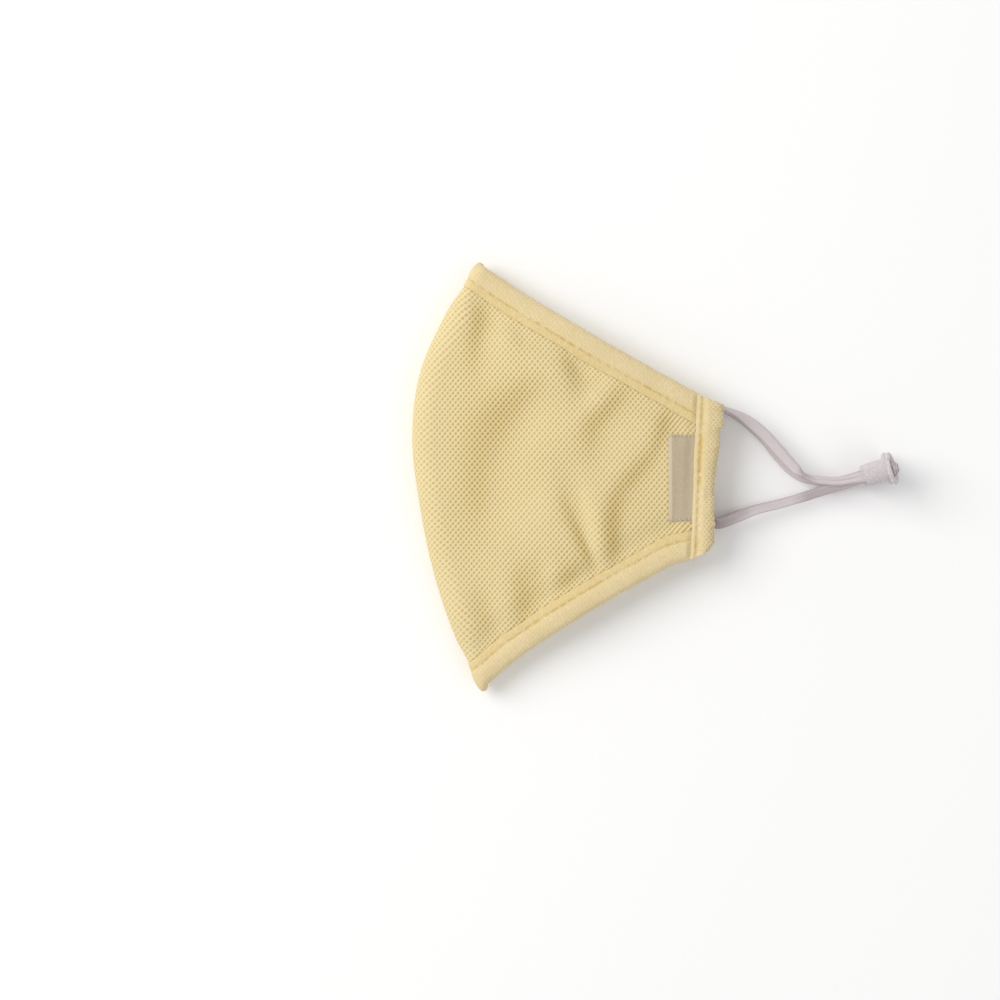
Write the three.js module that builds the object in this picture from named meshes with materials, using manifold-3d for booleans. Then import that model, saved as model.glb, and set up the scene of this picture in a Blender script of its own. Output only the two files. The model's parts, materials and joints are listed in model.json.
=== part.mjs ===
// A child's cup-shaped cloth respirator mask, folded flat along its centre front seam and lying on its side.
// Millimetres, +Z up, +Y towards the nose end, +X towards the ears. z = 0 is the surface that it lies on.
// Left is the wearer's left half, which lies on top. Right is the half underneath.
import * as THREE from 'three';
import { mergeVertices } from 'three/addons/utils/BufferGeometryUtils.js';
import Module from 'manifold-3d';

// cloth
const wallHalf = 1.1;            // half the cup wall, three layers of cloth
const pressedHalf = 0.6;         // half the wall where stitches press it, inside a hem or casing
const clearance = 0.3;           // between neighbouring pieces
const slotHalf = pressedHalf + clearance;
const bindingHalf = 2.05;        // half the thickness of a hem's or casing's roll
const hemWidth = 8.5;
const hemStitchInset = 6.0;      // from the outline to the stitched groove
const slotBottomInset = 1.6;     // from the outline to the bottom of the hem's slot
const panelInset = slotBottomInset + clearance;
const tipSlim = 0.78;            // share of the hem's thickness left at the front seam
const fullWallInset = 9;         // from the outline to where the wall starts to reach its full thickness
const fullWallRun = 3;
const fullWallSide = { inset: 2.4, run: 4 };     // the same from the casing's side

// heights of the folded mask
const seamHeight = 4.3;          // the plane where the two halves meet at the centre front
const rightLevelBound = bindingHalf;             // middle of the lower half's wall inside hem and casing
const rightLevelFlat = wallHalf;                 // middle of the lower half's wall where it lies flat
const leftLevelTip = 2 * seamHeight - bindingHalf;
const leftLevelSide = 10.8;      // middle of the upper half's wall along the ear edge
const leftLift = 45;             // distance from the front in which the upper half reaches that level
const leftPuff = 1.2;            // how far the upper half stands above its hems
const hemFadeFrom = 9.0;         // distance from the outline where the level leaves the hem's
const hemFadeTo = 17.0;
const sideFadeFrom = 1.6;
const sideFadeTo = 9.0;
const creaseFade = { inset: 4.8, run: 6.5 };     // how far from the outline creases start to rise
const creaseSideFade = { inset: 1.5, run: 5 };
const rollHem = bindingHalf + 0.2;               // how far in from the front seam the fold is round
const rollLeft = 6.0;
const rollRight = seamHeight - wallHalf;
const seamInsetHem = 1.8;        // from the outline to the middle of the wall at the front seam, in a hem

// outline of one half seen from above
const noseTip = [-27.2, 65.4];
const chinTip = [-26.6, -65.1];
const frontCurve = [
  { x: chinTip[0], y: chinTip[1] },
  { x: -34.6, y: -46.5 },
  { x: -40.2, y: -29.4 },
  { x: -44.4, y: -9.5 },
  { x: -46.8, y: 11.5 },
  { x: -44.5, y: 31.5 },
  { x: -36.2, y: 50.5 },
  { x: noseTip[0], y: noseTip[1] },
];
const topEdge = [
  { x: noseTip[0], y: noseTip[1] },
  { x: -12.8, y: 55.5 },
  { x: 11.7, y: 40.7 },
  { x: 40.2, y: 24.8 },
];
const bottomEdge = [
  { x: chinTip[0], y: chinTip[1] },
  { x: -13.0, y: -53.6 },
  { x: 7.6, y: -40.2 },
  { x: 25.6, y: -29.9 },
  { x: 32.0, y: -26.6 },
  { x: 38.0, y: -24.9 },
];

// side casing, a tunnel for the elastic: its inner line is the flap's edge, its outer line the ear edge
const casingFlap = 1.2;          // depth of the slot that grips the panel's edge
const casingSeam = 0.5;          // cloth between the slot and the tunnel
const casingWall = 0.75;         // cloth outside the tunnel
const casingInner = [
  { x: 37.1, y: -24.9 },
  { x: 37.8, y: -8.0 },
  { x: 38.2, y: 5.0 },
  { x: 39.3, y: 24.8 },
];
const casingOuter = [
  { x: 44.4, y: -21.6 },
  { x: 44.3, y: -9.0 },
  { x: 44.6, y: -1.0 },
  { x: 45.9, y: 9.0 },
  { x: 46.8, y: 21.8 },
];

// inner layer of the casing: it is left out at both ends, where the elastic comes out under the outer layer
const casingMouths = [
  { from: 9.5, to: 22.4 },
  { from: -17.6, to: -6.5 },
];
const mouthCut = { from: 40.2, width: 9, depth: 4, level: 0.95 };

// soft creases of the upper half: place, half length, width, turn from +X and fall across
const creases = [
  { x: -27.2, y: 46.5, long: 10, wide: 5.0, turn: 85, fall: 1.45 },
  { x: 2.3, y: 32.0, long: 6.5, wide: 4.6, turn: 112, fall: 1.9 },
  { x: -11.5, y: 26.5, long: 9, wide: 7.5, turn: 42, fall: 1.4 },
  { x: -22.0, y: 14.5, long: 12, wide: 12.0, turn: 62, fall: 2.3 },
  { x: -27.5, y: -3.0, long: 10, wide: 10.0, turn: 95, fall: 1.1 },
  { x: -11.0, y: 12.0, long: 13, wide: 9.0, turn: 58, fall: -0.8 },
  { x: 6.8, y: 11.5, long: 8, wide: 6.5, turn: 98, fall: 1.1 },
  { x: 21.5, y: 2.0, long: 9, wide: 4.6, turn: 48, fall: 1.4 },
  { x: 14.0, y: -14.0, long: 10, wide: 4.8, turn: 82, fall: 2.0 },
  { x: 26.0, y: -10.0, long: 14, wide: 13.0, turn: 75, fall: 1.0 },
  { x: -0.6, y: -9.0, long: 7.5, wide: 5.0, turn: 108, fall: 1.2 },
  { x: -12.6, y: -36.0, long: 8, wide: 5.5, turn: 98, fall: 1.5 },
  { x: -26.0, y: -41.0, long: 9, wide: 7.0, turn: 108, fall: 1.0 },
];

// the panel's edge inside the casing's slot
const sideSeam = casingInner.map((p) => ({ x: p.x + casingFlap - clearance, y: p.y }));
const label = { left: 30.4, right: 37.4, bottom: -13.1, top: 12.5, thickness: 0.45, columns: 4, rows: 8 };

// steps of the cup wall: round its front fold, across it, and between its hems
const foldSteps = 4;
const wallColumns = 20;
const wallRows = 16;
const hemRows = [panelInset, 5.5, hemFadeFrom, 12, hemFadeTo];   // rows near a hem, from the outline
const hemColumns = 12;

// flat elastic and its lock
const elastic = { width: 3.8, thickness: 0.9 };
const strandLift = (elastic.thickness + clearance) / 2;
const lock = {
  length: 8.4, boreRadius: 2.5, frontRadius: 3.1, rearRadius: 3.35, flangeRadius: 4.95, flangeThickness: 1.3,
};

// from the drawing point of the outline to the middle of the folded cloth
const originShift = { x: 0.2, y: -0.3 };

const clamp01 = (v) => Math.min(1, Math.max(0, v));
const lerp = THREE.MathUtils.lerp;
const smooth = (v) => clamp01(v) ** 2 * (3 - 2 * clamp01(v));
const fade = (v, from, to) => 1 - smooth((v - from) / (to - from));
const rise = (v, { inset, run }) => smooth((v - inset) / run);

// A plane curve through named points, read by its share of length.
function planCurve(points) {
  const curve = new THREE.SplineCurve(points.map((p) => new THREE.Vector2(p.x, p.y)));
  curve.arcLengthDivisions = 400;
  return (share) => curve.getPointAt(clamp01(share));
}

// Coons patch: blends two rows (bottom, top) and two columns (front, side) into one plane sheet.
function planPatch(front, side, bottom, top) {
  const corners = [bottom(0), bottom(1), top(0), top(1)];
  return (u, w) => {
    const [b0, b1, t0, t1] = corners;
    const rows = bottom(u).clone().lerp(top(u), w);
    const columns = front(w).clone().lerp(side(w), u);
    const flat = b0.clone().lerp(b1, u).lerp(t0.clone().lerp(t1, u), w);
    return rows.add(columns).sub(flat);
  };
}

const cupPlan = planPatch(
  planCurve(frontCurve),
  planCurve(sideSeam),
  planCurve(bottomEdge),
  planCurve(topEdge),
);
const seamInset = (hem) => lerp(wallHalf, seamInsetHem, hem);
const rowLength = (w) => cupPlan(0, w).distanceTo(cupPlan(1, w));

// How far w moves for one millimetre square to the outline, at the row w = 0 or 1.
function rowStep(u, w) {
  const small = 1e-3;
  const inside = w > 0.5 ? -small : small;
  const here = cupPlan(u, w);
  const alongRow = cupPlan(u > 0.5 ? u - small : u + small, w).sub(here);
  const alongColumn = cupPlan(u, w + inside).sub(here);
  return Math.abs(inside) * alongRow.length() / Math.abs(alongRow.cross(alongColumn));
}

// The two halves: side is +1 for the upper (left) and -1 for the lower (right).
const left = { side: 1, roll: rollLeft };
const right = { side: -1, roll: rollRight };

// Height of the creases: each falls as its distance across over one plus its square, under a bell.
function creaseHeight(x, y) {
  let height = 0;
  for (const crease of creases) {
    const turn = THREE.MathUtils.degToRad(crease.turn);
    const dx = x - crease.x;
    const dy = y - crease.y;
    const along = (dx * Math.cos(turn) + dy * Math.sin(turn)) / crease.long;
    const across = (dx * Math.sin(turn) - dy * Math.cos(turn)) / crease.wide;
    const bell = Math.exp(-along * along - across * across / 10);
    height -= crease.fall * bell * across / (1 + across * across);
  }
  return height;
}

// Share of a point that belongs to the hems (1 at the outline) and to the casing (1 at the ear edge).
function bound(u, w) {
  const fromTop = (1 - w) / rowStep(u, 1);
  const fromBottom = w / rowStep(u, 0);
  const fromSide = (1 - u) * rowLength(w);
  return {
    edge: Math.min(fromTop, fromBottom),
    fromSide,
    hem: fade(Math.min(fromTop, fromBottom), hemFadeFrom, hemFadeTo),
    casing: fade(fromSide, sideFadeFrom, sideFadeTo),
  };
}

function levelOf(half, u, w, x, y) {
  const { edge, fromSide, hem, casing } = bound(u, w);
  const free = (1 - hem) * (1 - casing);
  if (half === right) return lerp(rightLevelBound, rightLevelFlat, free);
  const fromFront = u * rowLength(w);
  const lift = lerp(leftLevelTip, leftLevelSide, smooth(fromFront / leftLift));
  const loose = rise(edge, creaseFade) * rise(fromSide, creaseSideFade);
  return lift + free * leftPuff + loose * creaseHeight(x, y);
}

// Middle of the wall. t runs from 0 at the front seam through 1, where the round fold ends, to 2 at the side.
function middle(half, t, w) {
  const length = rowLength(w);
  const hem = bound(clamp01(t - 1), w).hem;
  const roll = lerp(half.roll, rollHem, hem);
  const turn = clamp01(t) * Math.PI / 2;
  const start = seamInset(hem);
  const fromFront = start + roll * (1 - Math.cos(turn)) + Math.max(0, t - 1) * (length - start - roll);
  const u = fromFront / length;
  const plan = cupPlan(u, w);
  const level = levelOf(half, u, w, plan.x, plan.y);
  const z = lerp(seamHeight, level, Math.sin(turn));
  return new THREE.Vector3(plan.x, plan.y, z);
}

// A point n millimetres out of the wall's middle, positive towards the outside of the mask.
function offset(half, t, w, n) {
  const step = 1e-3;
  const before = middle(half, Math.max(0, t - step), w);
  const after = middle(half, Math.min(2, t + step), w);
  const below = middle(half, t, Math.max(0, w - step));
  const above = middle(half, t, Math.min(1, w + step));
  const out = after.sub(before).cross(above.sub(below)).normalize().multiplyScalar(half.side * n);
  if (t === 0) out.z = 0;
  const point = middle(half, t, w).add(out);
  if (t === 0) point.z = seamHeight + half.side * clearance / 2;
  return point;
}

// Closed body from points and triangles, turned so that its faces point outwards.
function body(points, faces) {
  let volume = 0;
  for (const [a, b, c] of faces) {
    volume += points[a].dot(points[b].clone().cross(points[c]));
  }
  const turned = volume < 0 ? faces.map(([a, b, c]) => [a, c, b]) : faces;
  const geometry = new THREE.BufferGeometry();
  geometry.setAttribute('position', new THREE.Float32BufferAttribute(points.flatMap((p) => p.toArray()), 3));
  geometry.setIndex(turned.flat());
  geometry.computeVertexNormals();
  return geometry;
}

// A wall between an outer and an inner grid of the same size, closed along its four edges.
function wallBody(outer, inner) {
  const rows = outer.length;
  const columns = outer[0].length;
  const points = [...outer.flat(), ...inner.flat()];
  const faces = [];
  const at = (i, j) => i * columns + j;
  const under = (i, j) => rows * columns + at(i, j);
  const quad = (a, b, c, d) => faces.push([a, b, c], [a, c, d]);
  for (let i = 0; i + 1 < rows; i += 1) {
    for (let j = 0; j + 1 < columns; j += 1) {
      quad(at(i, j), at(i, j + 1), at(i + 1, j + 1), at(i + 1, j));
      quad(under(i, j), under(i + 1, j), under(i + 1, j + 1), under(i, j + 1));
    }
    const last = columns - 1;
    quad(at(i, 0), at(i + 1, 0), under(i + 1, 0), under(i, 0));
    quad(at(i + 1, last), at(i, last), under(i, last), under(i + 1, last));
  }
  for (let j = 0; j + 1 < columns; j += 1) {
    const last = rows - 1;
    quad(at(0, j + 1), at(0, j), under(0, j), under(0, j + 1));
    quad(at(last, j), at(last, j + 1), under(last, j + 1), under(last, j));
  }
  return body(points, faces);
}

// A section, with or without a hole, carried through stations. place(station, point) gives each 3D point.
function sweptBody(section, hole, stations, place) {
  const plane = (loop) => loop.map((p) => new THREE.Vector2(p.s, p.n));
  const windUp = (loop, sign) => (THREE.ShapeUtils.area(plane(loop)) * sign < 0 ? [...loop].reverse() : loop);
  const loops = hole ? [windUp(section, 1), windUp(hole, -1)] : [windUp(section, 1)];
  const flat = loops.flat();
  const count = flat.length;
  const points = stations.flatMap((station) => flat.map((p) => place(station, p)));
  const faces = [];
  const lastRing = (stations.length - 1) * count;
  for (const corners of THREE.ShapeUtils.triangulateShape(plane(loops[0]), loops.slice(1).map(plane))) {
    const ordered = windUp(corners.map((index) => ({ ...flat[index], index })), 1);
    const [a, b, c] = ordered.map((corner) => corner.index);
    faces.push([a, c, b], [lastRing + a, lastRing + b, lastRing + c]);
  }
  let start = 0;
  for (const loop of loops) {
    for (let i = 0; i < loop.length; i += 1) {
      const a = start + i;
      const b = start + (i + 1) % loop.length;
      for (let ring = 0; ring < lastRing; ring += count) {
        faces.push([ring + a, ring + b, ring + count + b], [ring + a, ring + count + b, ring + count + a]);
      }
    }
    start += loop.length;
  }
  return body(points, faces);
}

const range = (count, from, to) => Array.from({ length: count + 1 }, (_, i) => lerp(from, to, i / count));
const foldStops = range(foldSteps, 0, 1).slice(0, -1);

// Cup wall of one half: pressed thin inside the hems and the casing.
function panel(half) {
  const across = [...foldStops, ...range(wallColumns, 1, 2)];
  const between = range(wallRows, 0, 1).slice(1, -1);
  const rowCount = 2 * hemRows.length + between.length;
  const rowAt = (t, index) => {
    const u = clamp01(t - 1);
    const low = rowStep(u, 0);
    const high = rowStep(u, 1);
    if (index < hemRows.length) return hemRows[index] * low;
    const middleIndex = index - hemRows.length;
    if (middleIndex >= between.length) return 1 - hemRows[rowCount - 1 - index] * high;
    return lerp(hemFadeTo * low, 1 - hemFadeTo * high, between[middleIndex]);
  };
  const halfWall = (t, w) => {
    const { edge, fromSide } = bound(clamp01(t - 1), w);
    const free = rise(edge, { inset: fullWallInset, run: fullWallRun }) * rise(fromSide, fullWallSide);
    return lerp(pressedHalf, wallHalf, free);
  };
  const grid = (sign) => across.map((t) => Array.from({ length: rowCount }, (_, index) => {
    const w = rowAt(t, index);
    return offset(half, t, w, sign * halfWall(t, w));
  }));
  return wallBody(grid(1), grid(-1));
}

// Hem section: s millimetres in from the outline, n out of the wall. A U that grips the panel's edge.
function hemSection() {
  const roll = [
    { s: hemWidth, n: slotHalf },
    { s: hemWidth, n: 1.5 },
    { s: hemWidth - 0.5, n: 1.7 },
    { s: hemStitchInset + 0.4, n: 1.7 },
    { s: hemStitchInset, n: 1.35 },
    { s: hemStitchInset - 0.6, n: 1.8 },
    { s: 4.2, n: bindingHalf },
    { s: 2.0, n: 1.95 },
    { s: 0.6, n: 1.2 },
  ];
  const other = roll.map((p) => ({ s: p.s, n: -p.n })).reverse();
  return [
    ...roll,
    { s: 0, n: 0 },
    ...other,
    { s: slotBottomInset, n: -slotHalf },
    { s: slotBottomInset, n: slotHalf },
  ];
}

function hem(half, row) {
  const end = 2 - (casingFlap + 0.2) / rowLength(row);
  const stations = [...foldStops, ...range(hemColumns, 1, end)];
  return sweptBody(hemSection(), null, stations, (t, p) => {
    const u = clamp01(t - 1);
    const w = row === 1 ? 1 - p.s * rowStep(u, 1) : p.s * rowStep(u, 0);
    const slim = lerp(tipSlim, 1, clamp01(t));
    const beyondSlot = Math.max(0, Math.abs(p.n) - slotHalf) * slim;
    const n = Math.sign(p.n) * (Math.min(Math.abs(p.n), slotHalf) + beyondSlot);
    return offset(half, t, w, n);
  });
}

// Side casing: a flap and slot that grip the panel's edge, and a tunnel for the elastic.
const casingLevel = (half) => (half === right ? rightLevelBound : leftLevelSide);

function casingOutline(width) {
  const fromOuter = (mm) => width - mm;
  const roll = [
    { s: 0, n: slotHalf },
    { s: 0, n: 1.55 },
    { s: 0.6, n: 1.7 },
    { s: 1.1, n: 1.45 },
    { s: 1.7, n: 1.85 },
    { s: fromOuter(3.4), n: bindingHalf },
    { s: fromOuter(1.4), n: 1.85 },
    { s: fromOuter(0.4), n: 1.1 },
  ];
  const other = roll.map((p) => ({ s: p.s, n: -p.n })).reverse();
  return [
    ...roll,
    { s: width, n: 0 },
    ...other,
    { s: casingFlap, n: -slotHalf },
    { s: casingFlap, n: slotHalf },
  ];
}

function casingTunnel(width) {
  const inner = casingFlap + casingSeam;
  const outer = width - casingWall;
  return [
    { s: inner, n: -0.7 },
    { s: inner, n: 0.7 },
    { s: inner + 0.4, n: 0.95 },
    { s: outer - 0.6, n: 0.95 },
    { s: outer, n: 0.4 },
    { s: outer, n: -0.4 },
    { s: outer - 0.6, n: -0.95 },
    { s: inner + 0.4, n: -0.95 },
  ];
}

const wasm = await Module();
wasm.setup();

function toManifold(geometry) {
  const plain = new THREE.BufferGeometry();
  plain.setAttribute('position', geometry.getAttribute('position'));
  plain.setIndex(geometry.getIndex());
  const merged = mergeVertices(plain, 1e-4);
  return new wasm.Manifold(new wasm.Mesh({
    numProp: 3,
    vertProperties: Float32Array.from(merged.getAttribute('position').array),
    triVerts: Uint32Array.from(merged.getIndex().array),
  }));
}

function fromManifold(solid) {
  const mesh = solid.getMesh();
  const geometry = new THREE.BufferGeometry();
  geometry.setAttribute('position', new THREE.Float32BufferAttribute(mesh.vertProperties, 3));
  geometry.setIndex([...mesh.triVerts]);
  geometry.computeVertexNormals();
  return geometry;
}

function casing(half) {
  const inner = planCurve(casingInner);
  const outer = planCurve(casingOuter);
  const stations = range(9, 0, 1);
  const mid = inner(0.5).distanceTo(outer(0.5));
  const place = (share, p) => {
    const from = inner(share);
    const to = outer(share);
    const width = from.distanceTo(to);
    const s = p.s <= casingFlap + casingSeam + 0.4 ? p.s : width - (mid - p.s);
    const plan = from.clone().lerp(to, s / width);
    return new THREE.Vector3(plan.x, plan.y, casingLevel(half) + half.side * p.n);
  };
  let solid = toManifold(sweptBody(casingOutline(mid), casingTunnel(mid), stations, place));
  for (const mouth of casingMouths) {
    const box = new THREE.BoxGeometry(mouthCut.width, mouth.to - mouth.from, mouthCut.depth).toNonIndexed();
    box.deleteAttribute('normal');
    box.deleteAttribute('uv');
    const x = mouthCut.from + mouthCut.width / 2;
    const z = casingLevel(half) + half.side * (mouthCut.level - mouthCut.depth / 2);
    box.translate(x, (mouth.from + mouth.to) / 2, z);
    solid = solid.subtract(toManifold(mergeVertices(box, 1e-4)));
  }
  return fromManifold(solid);
}

// Where on the upper half a plan point lies, found by stepping towards it.
function locate(x, y) {
  let u = 0.9;
  let w = 0.5;
  const small = 1e-4;
  for (let round = 0; round < 12; round += 1) {
    const here = cupPlan(u, w);
    const du = cupPlan(u + small, w).sub(here).divideScalar(small);
    const dw = cupPlan(u, w + small).sub(here).divideScalar(small);
    const miss = new THREE.Vector2(x, y).sub(here);
    const det = du.cross(dw);
    u += miss.cross(dw) / det;
    w += du.cross(miss) / det;
  }
  return { u, w };
}

// The label lies on the upper half's outer face, beside the casing.
function labelBody() {
  const columns = range(label.columns, label.left, label.right);
  const rows = range(label.rows, label.bottom, label.top);
  const placed = (x, y, lift) => {
    const { u, w } = locate(x, y);
    const length = rowLength(w);
    const { hem } = bound(u, w);
    const start = seamInset(hem) + lerp(rollLeft, rollHem, hem);
    const t = 1 + (u * length - start) / (length - start);
    return offset(left, t, w, wallHalf + lift);
  };
  const grid = (lift) => columns.map((x) => rows.map((y) => placed(x, y, lift)));
  return wallBody(grid(clearance + label.thickness), grid(clearance));
}

// A path whose flat section keeps level: its normal is up, square to the path.
class LevelPath extends THREE.CatmullRomCurve3 {
  computeFrenetFrames(segments) {
    const tangents = [];
    const normals = [];
    const binormals = [];
    const up = new THREE.Vector3(0, 0, 1);
    for (let i = 0; i <= segments; i += 1) {
      const tangent = this.getTangentAt(i / segments);
      const binormal = tangent.clone().cross(up).normalize();
      tangents.push(tangent);
      binormals.push(binormal);
      normals.push(binormal.clone().cross(tangent));
    }
    return { tangents, normals, binormals };
  }
}

function elasticShape() {
  const flat = elastic.width / 2;
  const thick = elastic.thickness / 2;
  const corner = 0.3;
  return new THREE.Shape([
    new THREE.Vector2(thick, flat - corner),
    new THREE.Vector2(thick - corner, flat),
    new THREE.Vector2(corner - thick, flat),
    new THREE.Vector2(-thick, flat - corner),
    new THREE.Vector2(-thick, corner - flat),
    new THREE.Vector2(corner - thick, -flat),
    new THREE.Vector2(thick - corner, -flat),
    new THREE.Vector2(thick, corner - flat),
  ]);
}

// Where each lock lies: the middle of its front end, its turn from +X and its tilt.
const leftLock = { x: 90.4, y: 0.4, z: 11.4, turn: 16.5, tilt: 18 };
const rightLock = { x: 90.2, y: 0.4, z: 3.15, turn: 16.5, tilt: 13.5 };

function lockAxis(place) {
  const turn = THREE.MathUtils.degToRad(place.turn);
  const tilt = THREE.MathUtils.degToRad(place.tilt);
  return new THREE.Vector3(
    Math.cos(turn) * Math.cos(tilt),
    Math.sin(turn) * Math.cos(tilt),
    Math.sin(tilt),
  );
}

// Points of each strand, from the casing's tunnel to the lock.
const leftUpperStrand = [
  { x: 42.6, y: 8.5, z: 10.8 },
  { x: 42.7, y: 13.5, z: 10.7 },
  { x: 43.9, y: 18.6, z: 10.5 },
  { x: 47.2, y: 20.5, z: 10.0 },
  { x: 51.1, y: 19.2, z: 8.9 },
  { x: 55.4, y: 16.6, z: 7.5 },
  { x: 60.2, y: 12.6, z: 6.4 },
  { x: 64.5, y: 7.6, z: 6.1 },
  { x: 67.8, y: 3.4, z: 6.5 },
  { x: 71.4, y: 0.6, z: 7.2 },
  { x: 76.5, y: -1.1, z: 8.5 },
  { x: 82.5, y: -1.2, z: 9.9 },
];
const leftLowerStrand = [
  { x: 41.75, y: -1.0, z: 10.8 },
  { x: 41.55, y: -5.5, z: 10.8 },
  { x: 42.2, y: -11.0, z: 10.5 },
  { x: 45.6, y: -13.9, z: 9.7 },
  { x: 51.4, y: -12.2, z: 7.9 },
  { x: 57.4, y: -10.1, z: 6.2 },
  { x: 65.1, y: -8.2, z: 5.1 },
  { x: 72.9, y: -5.7, z: 5.4 },
  { x: 79.6, y: -3.4, z: 7.3 },
  { x: 84.4, y: -1.8, z: 8.9 },
];
const rightUpperStrand = [
  { x: 42.6, y: 8.5, z: 2.05 },
  { x: 42.7, y: 13.5, z: 2.1 },
  { x: 43.9, y: 18.4, z: 2.1 },
  { x: 47.2, y: 20.1, z: 1.8 },
  { x: 51.1, y: 18.6, z: 1.2 },
  { x: 55.3, y: 15.8, z: 0.8 },
  { x: 59.9, y: 11.7, z: 0.7 },
  { x: 64.0, y: 6.8, z: 0.8 },
  { x: 67.5, y: 2.6, z: 1.1 },
  { x: 71.4, y: -0.1, z: 1.6 },
  { x: 76.5, y: -1.3, z: 2.1 },
  { x: 82.5, y: -1.2, z: 2.7 },
];
const rightLowerStrand = [
  { x: 41.75, y: -1.0, z: 2.05 },
  { x: 41.55, y: -5.5, z: 2.05 },
  { x: 42.2, y: -10.6, z: 2.1 },
  { x: 45.7, y: -13.3, z: 1.7 },
  { x: 51.4, y: -11.4, z: 1.0 },
  { x: 57.4, y: -9.4, z: 0.7 },
  { x: 65.1, y: -7.6, z: 0.6 },
  { x: 72.9, y: -5.4, z: 0.6 },
  { x: 79.6, y: -3.4, z: 0.9 },
  { x: 84.4, y: -1.8, z: 1.3 },
];

// The elastic of one loop: lock, upper strand, casing tunnel, lower strand, lock.
function earLoop(place, upper, lower) {
  const axis = lockAxis(place);
  const front = new THREE.Vector3(place.x, place.y, place.z);
  const lift = axis.clone().cross(new THREE.Vector3(0, 1, 0)).normalize().multiplyScalar(strandLift);
  if (lift.z < 0) lift.negate();
  const inLock = (sign, along) => front.clone().addScaledVector(axis, along).addScaledVector(lift, sign);
  const strand = (points) => points.map((p) => new THREE.Vector3(p.x, p.y, p.z));
  const stops = [-1, lock.length * 0.5, lock.length + 0.6];
  const path = new LevelPath([
    ...[...stops].reverse().map((along) => inLock(1, along)),
    ...strand(upper).reverse(),
    ...strand(lower),
    ...stops.map((along) => inLock(-1, along)),
  ]);
  path.arcLengthDivisions = 1000;
  return new THREE.ExtrudeGeometry(elasticShape(), { steps: 64, extrudePath: path });
}

// The lock: a soft sleeve with a flange, turned round its own axis.
function lockGeometry() {
  const flangeStart = lock.length - lock.flangeThickness;
  const profile = [
    { r: lock.boreRadius, a: 0 },
    { r: lock.frontRadius - 0.3, a: 0 },
    { r: lock.frontRadius, a: 0.4 },
    { r: lock.rearRadius, a: flangeStart - 0.3 },
    { r: lock.flangeRadius - 0.5, a: flangeStart },
    { r: lock.flangeRadius, a: flangeStart + 0.4 },
    { r: lock.flangeRadius, a: lock.length - 0.4 },
    { r: lock.flangeRadius - 0.4, a: lock.length },
    { r: lock.boreRadius + 1.1, a: lock.length - 0.3 },
    { r: lock.boreRadius, a: lock.length - 1.5 },
    { r: lock.boreRadius, a: 0 },
  ];
  return new THREE.LatheGeometry(profile.map((p) => new THREE.Vector2(p.r, p.a)), 20);
}

function finish(color, roughness) {
  return new THREE.MeshStandardMaterial({ color, roughness, metalness: 0 });
}

const creamKnit = finish(0xeedfae, 0.92);
const creamHem = finish(0xf0e3b6, 0.9);
const wovenLabel = finish(0xc9c3b4, 0.75);
const greyElastic = finish(0xd3cbd0, 0.85);
const silicone = finish(0xe6e2e6, 0.45);

// The origin lies under the middle of the folded cloth.
const mask = new THREE.Group();
mask.position.set(originShift.x, originShift.y, 0);

function add(name, geometry, material) {
  const mesh = new THREE.Mesh(geometry, material);
  mesh.name = name;
  mask.add(mesh);
  return mesh;
}

for (const [half, name] of [[left, 'left'], [right, 'right']]) {
  add(`panel_${name}`, panel(half), creamKnit);
  add(`top_hem_${name}`, hem(half, 1), creamHem);
  add(`bottom_hem_${name}`, hem(half, 0), creamHem);
  add(`side_casing_${name}`, casing(half), creamHem);
}
add('label', labelBody(), wovenLabel);
add('ear_loop_left', earLoop(leftLock, leftUpperStrand, leftLowerStrand), greyElastic);
add('ear_loop_right', earLoop(rightLock, rightUpperStrand, rightLowerStrand), greyElastic);
for (const [place, name] of [[leftLock, 'cord_lock_left'], [rightLock, 'cord_lock_right']]) {
  const sleeve = add(name, lockGeometry(), silicone);
  sleeve.position.set(place.x, place.y, place.z);
  sleeve.quaternion.setFromUnitVectors(new THREE.Vector3(0, 1, 0), lockAxis(place));
}

export default mask;
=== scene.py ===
import json
import math

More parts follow.
